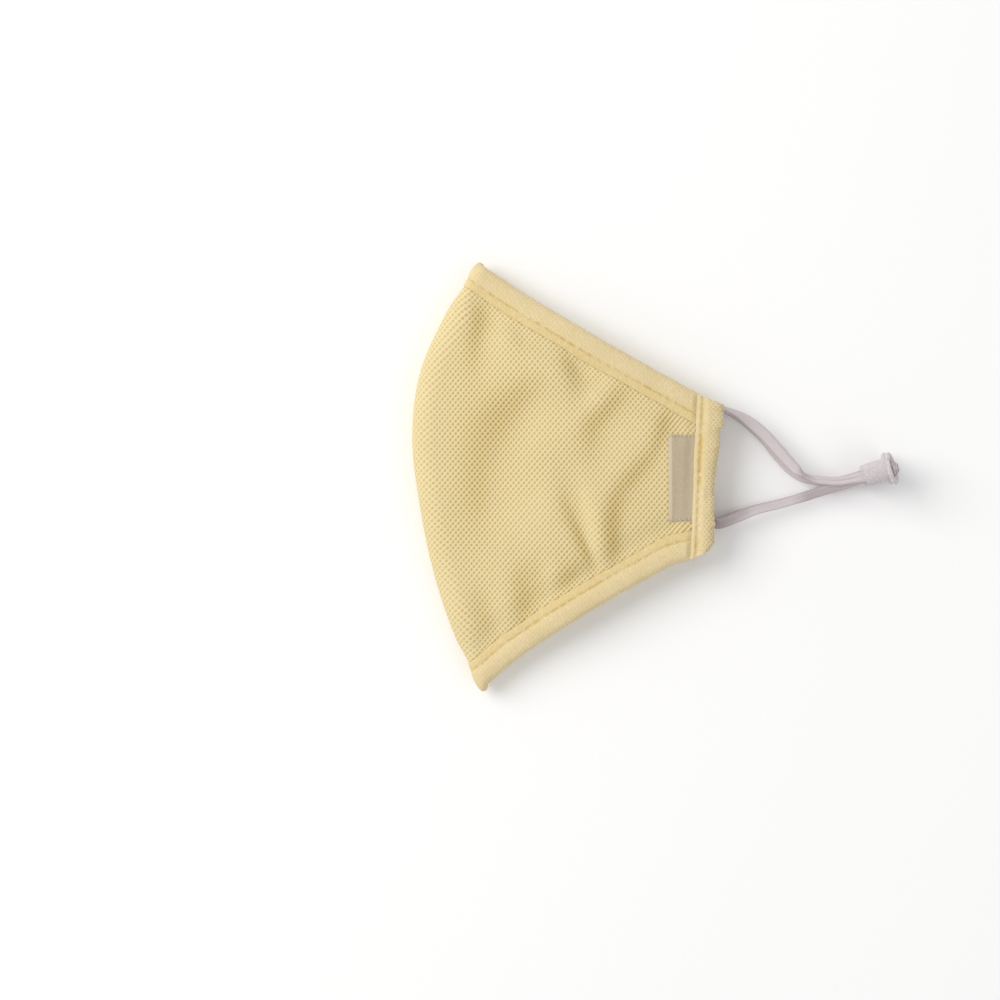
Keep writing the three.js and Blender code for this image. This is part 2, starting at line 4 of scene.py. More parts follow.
import bpy
import numpy as np
from mathutils import Vector
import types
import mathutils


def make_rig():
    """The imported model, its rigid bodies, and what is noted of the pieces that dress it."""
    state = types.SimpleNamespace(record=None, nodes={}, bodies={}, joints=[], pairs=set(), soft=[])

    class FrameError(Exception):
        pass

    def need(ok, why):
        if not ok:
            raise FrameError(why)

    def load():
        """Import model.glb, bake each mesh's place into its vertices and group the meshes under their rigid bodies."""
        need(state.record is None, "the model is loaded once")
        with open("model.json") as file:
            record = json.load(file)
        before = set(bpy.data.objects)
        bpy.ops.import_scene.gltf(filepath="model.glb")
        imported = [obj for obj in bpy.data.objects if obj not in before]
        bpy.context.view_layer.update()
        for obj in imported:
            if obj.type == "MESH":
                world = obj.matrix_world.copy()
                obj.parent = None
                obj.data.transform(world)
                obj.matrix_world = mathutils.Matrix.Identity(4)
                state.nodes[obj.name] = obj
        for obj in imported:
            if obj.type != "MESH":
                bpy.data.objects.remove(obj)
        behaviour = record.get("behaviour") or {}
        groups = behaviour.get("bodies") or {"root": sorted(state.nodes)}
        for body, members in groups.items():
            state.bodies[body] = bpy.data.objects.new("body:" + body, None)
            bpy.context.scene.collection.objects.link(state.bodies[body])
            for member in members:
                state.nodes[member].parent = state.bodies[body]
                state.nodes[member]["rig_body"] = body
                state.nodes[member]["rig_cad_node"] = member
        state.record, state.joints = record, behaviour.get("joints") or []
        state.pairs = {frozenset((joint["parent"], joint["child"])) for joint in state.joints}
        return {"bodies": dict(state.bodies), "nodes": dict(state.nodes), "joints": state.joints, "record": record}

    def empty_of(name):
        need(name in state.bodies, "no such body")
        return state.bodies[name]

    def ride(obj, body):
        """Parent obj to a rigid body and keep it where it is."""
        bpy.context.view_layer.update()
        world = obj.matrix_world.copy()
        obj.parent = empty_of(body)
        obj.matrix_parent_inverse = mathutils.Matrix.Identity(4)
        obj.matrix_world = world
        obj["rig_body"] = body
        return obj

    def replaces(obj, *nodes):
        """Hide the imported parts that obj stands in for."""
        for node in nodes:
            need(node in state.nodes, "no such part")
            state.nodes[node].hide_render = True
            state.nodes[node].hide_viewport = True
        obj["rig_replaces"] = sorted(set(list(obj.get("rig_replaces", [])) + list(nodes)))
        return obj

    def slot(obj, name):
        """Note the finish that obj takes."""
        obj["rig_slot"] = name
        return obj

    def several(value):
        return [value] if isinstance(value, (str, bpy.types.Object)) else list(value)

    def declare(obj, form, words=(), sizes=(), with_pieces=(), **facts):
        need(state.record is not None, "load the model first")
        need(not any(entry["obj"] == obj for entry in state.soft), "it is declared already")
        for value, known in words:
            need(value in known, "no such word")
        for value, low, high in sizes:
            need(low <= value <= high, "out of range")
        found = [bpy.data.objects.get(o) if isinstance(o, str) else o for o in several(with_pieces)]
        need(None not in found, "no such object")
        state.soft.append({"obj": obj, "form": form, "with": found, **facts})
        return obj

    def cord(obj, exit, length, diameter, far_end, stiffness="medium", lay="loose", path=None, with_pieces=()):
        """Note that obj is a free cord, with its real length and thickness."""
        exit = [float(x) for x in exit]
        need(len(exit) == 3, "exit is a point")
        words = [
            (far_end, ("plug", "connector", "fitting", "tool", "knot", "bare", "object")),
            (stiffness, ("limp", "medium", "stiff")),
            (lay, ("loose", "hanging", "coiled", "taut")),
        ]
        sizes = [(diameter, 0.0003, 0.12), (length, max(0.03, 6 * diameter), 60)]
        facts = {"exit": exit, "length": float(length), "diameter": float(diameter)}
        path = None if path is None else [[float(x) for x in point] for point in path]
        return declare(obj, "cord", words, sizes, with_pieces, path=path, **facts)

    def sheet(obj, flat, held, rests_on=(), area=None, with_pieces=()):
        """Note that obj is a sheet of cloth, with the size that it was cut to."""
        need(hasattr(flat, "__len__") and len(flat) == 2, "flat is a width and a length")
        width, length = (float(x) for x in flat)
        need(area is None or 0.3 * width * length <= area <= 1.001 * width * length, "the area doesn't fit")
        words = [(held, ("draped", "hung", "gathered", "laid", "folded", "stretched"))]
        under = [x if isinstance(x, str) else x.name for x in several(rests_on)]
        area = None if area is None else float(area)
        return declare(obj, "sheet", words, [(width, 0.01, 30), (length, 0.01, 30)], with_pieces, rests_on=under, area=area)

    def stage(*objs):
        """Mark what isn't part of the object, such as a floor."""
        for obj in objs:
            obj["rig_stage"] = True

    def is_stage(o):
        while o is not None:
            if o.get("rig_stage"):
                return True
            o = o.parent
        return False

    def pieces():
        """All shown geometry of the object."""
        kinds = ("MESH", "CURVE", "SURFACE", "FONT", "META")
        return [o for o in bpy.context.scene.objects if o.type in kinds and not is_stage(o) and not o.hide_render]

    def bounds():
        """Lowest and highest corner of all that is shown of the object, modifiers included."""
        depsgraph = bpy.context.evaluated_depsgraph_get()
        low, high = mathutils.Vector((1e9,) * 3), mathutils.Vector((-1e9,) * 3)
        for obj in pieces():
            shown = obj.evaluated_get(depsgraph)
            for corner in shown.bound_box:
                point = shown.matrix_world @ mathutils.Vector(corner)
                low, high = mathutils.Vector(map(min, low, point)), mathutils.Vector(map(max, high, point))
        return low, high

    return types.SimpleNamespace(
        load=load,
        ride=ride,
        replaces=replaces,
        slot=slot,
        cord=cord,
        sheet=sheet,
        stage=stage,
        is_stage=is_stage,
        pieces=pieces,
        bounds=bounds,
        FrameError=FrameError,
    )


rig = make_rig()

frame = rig.load()
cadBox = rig.bounds()
print("frame loaded")

# lengths are in millimetres, and become metres as a piece is made

# camera over the folded mask, looking straight down
view = {"x": -0.0200, "y": -0.00725, "height": 0.848, "lens": 100.0, "sensor": 36.0}

cameraData = bpy.data.cameras.new("camera")
cameraData.lens = view["lens"]
cameraData.sensor_width = view["sensor"]
camera = bpy.data.objects.new("camera", cameraData)
camera.location = (view["x"], view["y"], view["height"])
bpy.context.scene.collection.objects.link(camera)
bpy.context.scene.camera = camera
bpy.context.scene.view_settings.view_transform = "Standard"

lights = {
    "key": {"at": (-1.05, 0.46, 1.05), "size": 1.2, "power": 15.0, "colour": (1.0, 0.99, 0.97)},
    "fill": {"at": (0.9, -0.5, 1.1), "size": 1.4, "power": 2.0, "colour": (0.97, 0.98, 1.0)},
    "world": {"strength": 0.60, "colour": (1.0, 1.0, 1.0)},
}


# round lamp turned towards the frame's origin
def areaLight(name, facts):
    data = bpy.data.lights.new(name, "AREA")
    data.shape = "DISK"
    data.size = facts["size"]
    data.energy = facts["power"]
    data.color = facts["colour"]
    lamp = bpy.data.objects.new(name, data)
    lamp.location = facts["at"]
    lamp.rotation_euler = (-Vector(facts["at"])).to_track_quat("-Z", "Y").to_euler()
    bpy.context.scene.collection.objects.link(lamp)


areaLight("keyLight", lights["key"])
areaLight("fillLight", lights["fill"])
world = bpy.data.worlds.new("softWorld")
bpy.context.scene.world = world
world.use_nodes = True
worldShade = world.node_tree.nodes["Background"]
worldShade.inputs["Color"].default_value = (*lights["world"]["colour"], 1)
worldShade.inputs["Strength"].default_value = lights["world"]["strength"]
print("camera and lights placed")


# sums on whole arrays, used by every surface
def clamp(v, low=0.0, high=1.0):
    return np.clip(v, low, high)


def blend(a, b, share):
    return a + (b - a) * share


# smooth step: the clamped value squared, times three less twice the value
def smooth(v):
    v = clamp(v)
    return v * v * (3 - 2 * v)


def riseFrom(v, start, run):
    return smooth((v - start) / run)


def fadeOut(v, start, end):
    return 1 - smooth((v - start) / (end - start))


# bell: e to the minus square of the distance in half widths
def bump(v, middle, halfWidth):
    return np.exp(-((v - middle) / halfWidth) ** 2)


def unit(v):
    return v / np.linalg.norm(v, axis=-1, keepdims=True)


rippleFacts = {"waves": 5, "stretch": (0.7, 1.6), "phase": 6.28, "turn": 6.2832}


# sum of a few sine waves in slanted directions, from -1 to 1: the same each run
def ripple(x, y, length, seed):
    dice, count = np.random.default_rng(seed), rippleFacts["waves"]
    angles = dice.uniform(0, np.pi, count)
    stretches = dice.uniform(*rippleFacts["stretch"], count)
    phases = dice.uniform(0, rippleFacts["phase"], count)
    total = 0.0
    for angle, stretch, phase in zip(angles, stretches, phases):
        slant = x * np.cos(angle) + y * np.sin(angle)
        total = total + np.sin(slant * rippleFacts["turn"] / (length * stretch) + phase)
    return total / count


# ripples along one line added up, each with its height, wave length and seed
def waves(along, parts):
    return sum(height * ripple(along, 0 * along, length, seed) for height, length, seed in parts)


# curve through points, read by its share of length: a uniform Catmull-Rom spline with its end points doubled
def curveThrough(points):
    knots = np.array([points[0], *points, points[-1]], float)
    count = len(points) - 1

    def at(place):
        place = np.clip(place, 0, count)
        i = np.minimum(place.astype(int), count - 1)
        t = (place - i)[..., None]
        before, start, end, after = knots[i], knots[i + 1], knots[i + 2], knots[i + 3]
        leave, arrive = (end - before) / 2, (after - start) / 2
        cubic = 2 * start - 2 * end + leave + arrive
        square = 3 * end - 3 * start - 2 * leave - arrive
        return ((cubic * t + square) * t + leave) * t + start

    fine = np.linspace(0, count, 4001)
    run = np.concatenate([[0], np.cumsum(np.linalg.norm(np.diff(at(fine), axis=0), axis=1))])

    def read(share):
        return at(np.interp(clamp(np.asarray(share, float)), run / run[-1], fine))

    read.length = run[-1]
    return read


# the folded cup: two walls of cloth around the seam's height, and how each level changes near hems and casing
cup = {
    "wallHalf": 1.1, "pressedHalf": 0.6, "seamHeight": 4.3, "seamGap": 0.03,
    "hemLevelLow": 2.05, "flatLevelLow": 1.1,
    "tipLevelHigh": 6.55, "sideLevelHigh": 10.8, "liftRun": 45.0, "puff": 1.2,
    "hemFade": (9.0, 17.0), "sideFade": (1.6, 9.0),      # distances where the hem's and casing's hold ends
    "looseEdge": (4.8, 6.5), "looseSide": (1.5, 5.0),    # where creases begin, and their run to full height
    "fullEdge": (7.2, 2.4), "fullSide": (1.6, 3.0),      # the same for the wall's full thickness
    "seamInset": (1.1, 1.8), "hemRoll": 2.25,
    "originShift": (0.2, -0.3, 0.0),
}
upperHalf = {"side": 1, "roll": 6.0}
lowerHalf = {"side": -1, "roll": 3.2}

noseTip, chinTip = (-27.2, 65.4), (-26.6, -65.1)
frontLine = curveThrough([
    chinTip, (-34.6, -46.5), (-40.2, -29.4), (-44.4, -9.5), (-46.8, 11.5), (-44.5, 31.5), (-36.2, 50.5),
    noseTip,
])
topLine = curveThrough([noseTip, (-12.8, 55.5), (11.7, 40.7), (40.2, 24.8)])
bottomLine = curveThrough([
    chinTip, (-13.0, -53.6), (7.6, -40.2), (25.6, -29.9), (32.0, -26.6), (38.0, -24.9),
])
casingInner = curveThrough([(37.1, -24.9), (37.8, -8.0), (38.2, 5.0), (39.3, 24.8)])
casingOuter = curveThrough([(44.4, -21.6), (44.3, -9.0), (44.6, -1.0), (45.9, 9.0), (46.8, 21.8)])
sideLine = curveThrough([(38.0, -24.9), (38.7, -8.0), (39.1, 5.0), (40.2, 24.8)])

# soft creases of the handled cloth: middle x and y, half length, width, turn from +X in degrees, fall across
creases = [
    (-27.6, 44.8, 13, 5.8, 86, 1.7),
    (-20.5, 45.0, 7, 5.0, 88, -0.6),
    (-15.5, 41.5, 4, 3.0, 120, 0.45),
    (0.8, 32.0, 7.5, 5.0, 112, 2.0),
    (-12.0, 27.0, 11, 8.5, 38, 1.9),
    (-22.5, 14.5, 13, 13.5, 64, 2.8),
    (-27.5, -4.5, 12, 10.0, 95, 2.1),
    (-11.0, 12.0, 13, 9.0, 58, -1.1),
    (11.8, 20.5, 8.5, 4.8, 47, 1.0),
    (9.0, 25.5, 8, 3.6, 47, -0.8),
    (6.8, 11.5, 8, 7.0, 98, 1.5),
    (28.0, 14.0, 6.5, 4.2, 70, 1.2),
    (20.8, 2.0, 9, 5.2, 48, 1.5),
    (13.8, -9.0, 7.5, 5.6, 74, 1.4),
    (13.2, -19.0, 7.5, 5.2, 92, 1.8),
    (26.0, -10.0, 14, 13.0, 75, 1.3),
    (7.7, -17.0, 12, 2.8, 103, -1.2),
    (-0.8, -9.0, 8, 5.0, 108, 1.5),
    (4.2, -20.0, 7.5, 2.8, 116, 1.2),
    (0.2, -29.8, 5, 4.2, 38, 0.75),
    (-5.5, -30.0, 6, 3.5, 95, -0.7),
    (-14.0, -35.6, 9, 6.4, 98, 1.7),
    (-19.5, -42.5, 7, 4.5, 100, -0.9),
    (-27.2, -39.5, 9, 7.0, 106, 1.5),
    (-2.0, -24.0, 14, 10.0, 55, 0.8),
]

creaseReach = 10


# each crease falls across its line, the distance across over one plus its square, under a bell both ways
def creaseHeight(x, y):
    height = 0.0
    for cx, cy, long, wide, turn, fall in creases:
        c, s = math.cos(math.radians(turn)), math.sin(math.radians(turn))
        along = ((x - cx) * c + (y - cy) * s) / long
        across = ((x - cx) * s - (y - cy) * c) / wide
        bell = np.exp(-along ** 2 - across ** 2 / creaseReach)
        height = height - fall * across / (1 + across ** 2) * bell
    return height


# plan of a half: Coons patch, the two blended rows plus the two blended columns minus the blended corners
def cupPlan(u, w):
    u, w = np.broadcast_arrays(np.asarray(u, float), np.asarray(w, float))
    across, up = u[..., None], w[..., None]
    rows = blend(bottomLine(u), topLine(u), up)
    columns = blend(frontLine(w), sideLine(w), across)
    low = blend(bottomLine(0.0), bottomLine(1.0), across)
    high = blend(topLine(0.0), topLine(1.0), across)
    return rows + columns - blend(low, high, up)


shareTable = np.linspace(0, 1, 601)
lengthTable = np.linalg.norm(cupPlan(0, shareTable) - cupPlan(1, shareTable), axis=1)


def rowLength(w):
    return np.interp(w, shareTable, lengthTable)


# how far w moves for one millimetre square to the outline: row speed over the area that both steps span
def stepTable(edge):
    small = 1e-3
    inside = -small if edge else small
    here = cupPlan(shareTable, edge)
    beside = np.where(shareTable > 0.5, -small, small)
    alongRow = cupPlan(shareTable + beside, edge) - here
    alongColumn = cupPlan(shareTable, edge + inside) - here
    area = alongRow[:, 0] * alongColumn[:, 1] - alongRow[:, 1] * alongColumn[:, 0]
    return small * np.linalg.norm(alongRow, axis=1) / np.abs(area)


bottomSteps, topSteps = stepTable(0), stepTable(1)


def rowStep(u, edge):
    return np.interp(u, shareTable, topSteps if edge else bottomSteps)


# distances from the outline and the ear edge, and the shares that belong to hem and casing
def boundOf(u, w):
    fromOutline = np.minimum((1 - w) / rowStep(u, 1), w / rowStep(u, 0))
    fromSide = (1 - u) * rowLength(w)
    return fromOutline, fromSide, fadeOut(fromOutline, *cup["hemFade"]), fadeOut(fromSide, *cup["sideFade"])


# height of the wall's middle: the upper half rises smoothly to its ear edge, and where it is free of hem and
# casing it gets the puff and the creases; the lower half blends to lying flat there
def levelOf(half, u, w, plan):
    fromOutline, fromSide, hem, casing = boundOf(u, w)
    free = (1 - hem) * (1 - casing)
    if half["side"] < 0:
        return blend(cup["hemLevelLow"], cup["flatLevelLow"], free)
    lift = blend(cup["tipLevelHigh"], cup["sideLevelHigh"], smooth(u * rowLength(w) / cup["liftRun"]))
    loose = riseFrom(fromOutline, *cup["looseEdge"]) * riseFrom(fromSide, *cup["looseSide"])
    return lift + free * cup["puff"] + loose * creaseHeight(plan[..., 0], plan[..., 1])


# inset of the front fold and its roll: both blend to the hem's own values by the hem's share
def foldOf(half, w):
    hem = boundOf(np.zeros_like(w), w)[2]
    return blend(*cup["seamInset"], hem), blend(half["roll"], cup["hemRoll"], hem)


# middle of the wall: t is 0 at the front seam, 1 where the quarter-ellipse fold ends, 2 at the side
def middleOf(half, t, w):
    t, w = np.broadcast_arrays(np.asarray(t, float), np.asarray(w, float))
    start, roll = foldOf(half, w)
    turn = clamp(t) * np.pi / 2
    length = rowLength(w)
    u = (start + roll * (1 - np.cos(turn)) + np.maximum(0, t - 1) * (length - start - roll)) / length
    plan = cupPlan(u, w)
    z = blend(cup["seamHeight"], levelOf(half, u, w, plan), np.sin(turn))
    return np.concatenate([plan, z[..., None]], axis=-1)


# outward normal of the wall: cross product of the two steps along the surface
def outOf(half, t, w):
    step = 1.5e-3
    acrossStep = middleOf(half, np.minimum(2, t + step), w) - middleOf(half, np.maximum(0, t - step), w)
    upStep = middleOf(half, t, np.minimum(1, w + step)) - middleOf(half, t, np.maximum(0, w - step))
    out = np.cross(acrossStep, upStep) * half["side"]
    out[..., 2] = np.where(t < 1e-6, 0, out[..., 2])
    return unit(out)


# a point n millimetres out of the wall's middle, and on the seam a fixed height just off the other half
def skinOf(half, t, w, n):
    t, w, n = np.broadcast_arrays(*(np.asarray(v, float) for v in (t, w, n)))
    point = middleOf(half, t, w) + outOf(half, t, w) * n[..., None]
    seam = cup["seamHeight"] + half["side"] * cup["seamGap"]
    point[..., 2] = np.where(t < 1e-6, seam, point[..., 2])
    return point


# half thickness of the wall: pressed at hems and casing, blended to full by the product of both rises
def halfThickness(t, w):
    fromOutline, fromSide, _, _ = boundOf(clamp(t - 1), w)
    free = riseFrom(fromOutline, *cup["fullEdge"]) * riseFrom(fromSide, *cup["fullSide"])
    return blend(cup["pressedHalf"], cup["wallHalf"], free)


# turns every face outwards: the signed volume of a closed body is positive then
def turnOut(points, faces):
    a, b, c, d = (points[faces[:, i]] for i in (0, 1, 2, -1))
    volume = np.einsum("ij,ij->", a, np.cross(b, c))
    if faces.shape[1] == 4:
        volume += np.einsum("ij,ij->", a, np.cross(c, d))
    return faces if volume > 0 else faces[:, ::-1]


# mesh object from points in millimetres, with its places on the cloth and its openness, which also carries painted
# shade, as attributes
def makePiece(name, points, faces, material, slotName, weave=None, openAndShade=None, angle=50):
    points = np.asarray(points, float).reshape(-1, 3) + cup["originShift"]
    mesh = bpy.data.meshes.new(name)
    mesh.from_pydata(points / 1000, [], turnOut(points, faces))
    if weave is not None:
        layer = mesh.attributes.new("weave", "FLOAT_VECTOR", "POINT")
        full = np.zeros((len(points), 3))
        full[:, :weave.shape[-1]] = weave.reshape(len(points), -1)
        layer.data.foreach_set("vector", full.ravel())
    if openAndShade is not None:
        mesh.attributes.new("open", "FLOAT", "POINT").data.foreach_set("value", openAndShade)
    mesh.shade_smooth()
    mesh.set_sharp_from_angle(angle=math.radians(angle))
    mesh.materials.append(material)
    piece = bpy.data.objects.new(name, mesh)
    bpy.context.scene.collection.objects.link(piece)
    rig.ride(piece, "root")
    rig.slot(piece, slotName)
    return piece


# wall between two grids of one size: both faces, and a strip along the rim that joins them
def wallFaces(rows, columns):
    index = np.arange(rows * columns).reshape(rows, columns)
    top = np.stack([index[:-1, :-1], index[:-1, 1:], index[1:, 1:], index[1:, :-1]], -1).reshape(-1, 4)
    rim = np.concatenate([index[0, :-1], index[:-1, -1], index[-1, :0:-1], index[:0:-1, 0]])
    after = np.roll(rim, -1)
    side = np.stack([after, rim, rim + index.size, after + index.size], -1)
    return np.concatenate([top, top[:, ::-1] + index.size, side])


# wall piece between an outer and an inner grid that share their places on the cloth
def wallPiece(name, outer, inner, material, slotName, weave):
    points = np.concatenate([outer.reshape(-1, 3), inner.reshape(-1, 3)])
    faces = wallFaces(*outer.shape[:2])
    return makePiece(name, points, faces, material, slotName, weave=np.concatenate([weave, weave]))


# band carried along a path: rings of points joined in order, each end closed by a fan on its middle
def tubeFaces(rings, around):
    index = np.arange(rings * around).reshape(rings, around)
    beside = np.roll(index, -1, axis=1)
    wall = np.stack([index[:-1], index[1:], beside[1:], beside[:-1]], -1).reshape(-1, 4)
    first, last = rings * around, rings * around + 1
    ends = np.concatenate([
        np.stack([index[0], beside[0], np.full(around, first)], -1),
        np.stack([beside[-1], index[-1], np.full(around, last)], -1),
    ])
    halves = np.concatenate([wall[:, [0, 1, 2]], wall[:, [0, 2, 3]]])
    return np.concatenate([halves, ends])


fullTurn = 2 * math.pi


# sRGB numbers from 0 to 255 as a linear colour
def paint(red, green, blue):
    return tuple(((c / 255 + 0.055) / 1.055) ** 2.4 for c in (red, green, blue)) + (1.0,)


# adds nodes to one tree: inputs by name or number, each a value or another node's output
def nodeAdder(tree):
    def add(kind, inputs=None, **facts):
        node = tree.nodes.new("ShaderNode" + kind)
        for fact, value in facts.items():
            setattr(node, fact, value)
        for socket, value in (inputs or {}).items():
            if isinstance(value, bpy.types.NodeSocket):
                tree.links.new(value, node.inputs[socket])
            else:
                node.inputs[socket].default_value = value
        return node

    def calc(operation, *values):
        return add("Math", dict(enumerate(values)), operation=operation).outputs[0]

    def times(a, b):
        return calc("MULTIPLY", a, b)

    def lack(share, amount):
        return times(calc("SUBTRACT", 1.0, share), amount)

    def ramp(value, low, high, toLow=0.0, toHigh=1.0):
        sockets = {"Value": value, "From Min": low, "From Max": high, "To Min": toLow, "To Max": toHigh}
        return add("MapRange", sockets, interpolation_type="SMOOTHSTEP").outputs[0]

    def tint(share, first, second):
        return add("Mix", {0: share, 6: first, 7: second}, data_type="RGBA").outputs[2]

    return add, calc, times, lack, ramp, tint


# node group with named inputs, where a value of None makes a vector socket, and named outputs
def newGroup(name, inputs, outputs):
    group = bpy.data.node_groups.new(name, "ShaderNodeTree")
    for label, value in inputs.items():
        kind = "NodeSocketVector" if value is None else "NodeSocketFloat"
        socket = group.interface.new_socket(name=label, in_out="INPUT", socket_type=kind)
        if value is not None:
            socket.default_value = value
    for label in outputs:
        group.interface.new_socket(name=label, in_out="OUTPUT", socket_type="NodeSocketFloat")
    given = group.nodes.new("NodeGroupInput").outputs
    result = group.nodes.new("NodeGroupOutput").inputs
    return group, given, result


# holes of the honeycomb knit: high where the cosines along both slants of the cell add up
def honeycombGroup():
    sockets = {"Cells": None, "Stretch": 0.0, "Hole Edge": 0.05, "Softness": 0.6, "Wander": 0.06}
    group, given, result = newGroup("honeycombHoles", sockets, ["Hole", "Thread"])
    add, calc, times, _, ramp, _ = nodeAdder(group)
    noise = add("TexNoise", {"Vector": given["Cells"], "Scale": 1.3, "Detail": 1.0}).outputs["Color"]
    centred = add("VectorMath", {0: noise, 1: (0.5, 0.5, 0.5)}, operation="SUBTRACT").outputs[0]
    moved = add("VectorMath", {0: centred, "Scale": given["Wander"]}, operation="SCALE").outputs[0]
    place = add("SeparateXYZ", {0: add("VectorMath", {0: given["Cells"], 1: moved}).outputs[0]}).outputs
    rising = calc("COSINE", times(calc("SUBTRACT", place[0], place[1]), fullTurn))
    falling = calc("COSINE", times(calc("ADD", place[0], place[1]), fullTurn))
    more = times(rising, calc("ADD", 1.0, given["Stretch"]))
    less = times(falling, calc("SUBTRACT", 1.0, given["Stretch"]))
    level = times(calc("ADD", more, less), 0.5)
    full = calc("ADD", given["Hole Edge"], given["Softness"])
    group.links.new(ramp(level, given["Hole Edge"], full), result["Hole"])
    group.links.new(calc("MULTIPLY_ADD", rising, -0.5, 0.5), result["Thread"])
    return group


# brushed cloth: short fibres drawn out along Y, and slow patches
def fibreGroup():
    sockets = {"Position": None, "Fineness": 2.6, "Patch Size": 0.09}
    group, given, result = newGroup("brushedFibres", sockets, ["Fibre", "Patch"])
    add, calc, times, _, ramp, _ = nodeAdder(group)
    drawn = add("Mapping", {"Vector": given["Position"], "Scale": (1.0, 0.42, 1.0)}).outputs[0]
    fine = add("TexNoise", {"Vector": drawn, "Scale": given["Fineness"], "Detail": 3.0, "Roughness": 0.65})
    slow = add("TexNoise", {"Vector": given["Position"], "Scale": given["Patch Size"], "Detail": 2.0})
    group.links.new(ramp(fine.outputs[0], 0.3, 0.7), result["Fibre"])
    group.links.new(ramp(slow.outputs[0], 0.35, 0.65), result["Patch"])
    return group


# sewn line: a narrow groove that wanders a little, deeper along each stitch than between them
def stitchGroup():
    sockets = {"Weave": None, "Line": 6.0, "Half Width": 0.35, "Pitch": 3.2, "Share": 0.72, "Wander": 0.3}
    group, given, result = newGroup("sewnLine", sockets, ["Groove"])
    add, calc, times, _, ramp, _ = nodeAdder(group)
    place = add("SeparateXYZ", {0: given["Weave"]}).outputs
    alone = add("CombineXYZ", {0: place[0]}).outputs[0]
    sway = add("TexNoise", {"Vector": alone, "Scale": 0.35, "Detail": 2.0}).outputs[0]
    offset = times(calc("SUBTRACT", sway, 0.5), given["Wander"])
    away = calc("ABSOLUTE", calc("SUBTRACT", calc("SUBTRACT", place[1], given["Line"]), offset))
    band = ramp(away, given["Half Width"], 0.0)
    phase = calc("FRACT", calc("ADD", calc("DIVIDE", place[0], given["Pitch"]), times(sway, 2.6)))
    stitchEnd = ramp(phase, calc("ADD", given["Share"], 0.14), given["Share"])
    dash = times(ramp(phase, 0.0, 0.16), stitchEnd)
    group.links.new(times(band, calc("MULTIPLY_ADD", dash, 0.75, 0.25)), result["Groove"])
    return group


# narrow weave: sine rows bent to and fro by their distance from each rib, and sine ribs across them
def ribGroup():
    sockets = {"Weave": None, "Row": 0.55, "Rib": 0.5, "Slant": 0.5}
    group, given, result = newGroup("wovenRibs", sockets, ["Row", "Rib"])
    add, calc, times, *_ = nodeAdder(group)
    place = add("SeparateXYZ", {0: given["Weave"]}).outputs
    ribShare = calc("FRACT", calc("DIVIDE", place[1], times(given["Rib"], 2.0)))
    fromRib = calc("ABSOLUTE", calc("SUBTRACT", ribShare, 0.5))
    bent = calc("ADD", place[0], times(fromRib, given["Slant"]))
    for name, value in (("Row", bent), ("Rib", place[1])):
        wave = calc("SINE", times(calc("DIVIDE", value, given[name]), fullTurn))
        group.links.new(calc("MULTIPLY_ADD", wave, 0.5, 0.5), result[name])
    return group


honeycomb, fibres, sewnLine, ribs = honeycombGroup(), fibreGroup(), stitchGroup(), ribGroup()


# new material with its constants set on the shader, and the helpers that add nodes to it
def newFinish(name, roughness, sheen=0.0):
    material = bpy.data.materials.new(name)
    material.use_nodes = True
    shade = material.node_tree.nodes["Principled BSDF"]
    shade.inputs["Roughness"].default_value = roughness
    shade.inputs["Specular IOR Level"].default_value = 0.25
    shade.inputs["Sheen Weight"].default_value = sheen
    shade.inputs["Sheen Roughness"].default_value = 0.6
    return material, shade, nodeAdder(material.node_tree)


# the place on the piece in millimetres
def seatOf(add):
    place = add("TexCoord").outputs["Object"]
    return add("VectorMath", {0: place, "Scale": 1000.0}, operation="SCALE").outputs[0]


# the place on the cloth in its own units, and the same in its three parts
def weaveOf(add):
    weave = add("Attribute", attribute_name="weave").outputs["Vector"]
    return weave, add("SeparateXYZ", {0: weave}).outputs


def useGroup(add, group, inputs):
    return add("Group", inputs, node_tree=group).outputs


# colour layers, each a share and a key, over a first key; then the height to the normal by way of a bump
def dress(kit, shade, facts, first, layers, height, strength, distance=0.001):
    add, tint = kit[0], kit[-1]
    links, colour = shade.id_data.links, facts[first]
    for share, key in layers:
        colour = tint(share, colour, facts[key])
    links.new(colour, shade.inputs["Base Color"])
    bumpNode = add("Bump", {"Height": height, "Strength": strength, "Distance": distance})
    links.new(bumpNode.outputs[0], shade.inputs["Normal"])


honeycombFinish = {
    "thread": paint(232, 216, 170), "deepThreadAndShade": paint(214, 188, 124), "hole": paint(178, 143, 48),
    # the openness ramp tints the threads darker: painted shade where creases face away from the light
    "threadShare": 0.26, "fibreShare": 0.3, "openShadeRun": (0.5, 0.95, 0.0, 0.6), "roughness": 0.9,
    "fibreBump": 0.02, "threadBump": 0.02, "holeBump": 0.09,
}


# honeycomb knit: pale threads, darker where they dip and where the openness is high, and ochre holes that show more
# there; the openness is partly the cloth's opening and partly painted shade on crease sides turned from the key light
def honeycombMaterial():
    facts = honeycombFinish
    material, shade, kit = newFinish("honeycombCloth", facts["roughness"], 0.1)
    add, calc, times, lack, ramp, _ = kit
    weave, place = weaveOf(add)
    openAndShade = add("Attribute", attribute_name="open").outputs["Fac"]
    holes = useGroup(add, honeycomb, {"Cells": weave, "Stretch": place[2]})
    fibre = useGroup(add, fibres, {"Position": seatOf(add)})["Fibre"]
    layers = [
        (lack(holes["Thread"], facts["threadShare"]), "deepThreadAndShade"),
        (lack(fibre, facts["fibreShare"]), "deepThreadAndShade"),
        (ramp(openAndShade, *facts["openShadeRun"]), "deepThreadAndShade"),
        (times(holes["Hole"], openAndShade), "hole"),
    ]
    relief = times(holes["Thread"], facts["threadBump"])
    relief = calc("SUBTRACT", relief, times(holes["Hole"], facts["holeBump"]))
    relief = calc("ADD", relief, times(fibre, facts["fibreBump"]))
    dress(kit, shade, facts, "thread", layers, relief, 0.8)
    return material


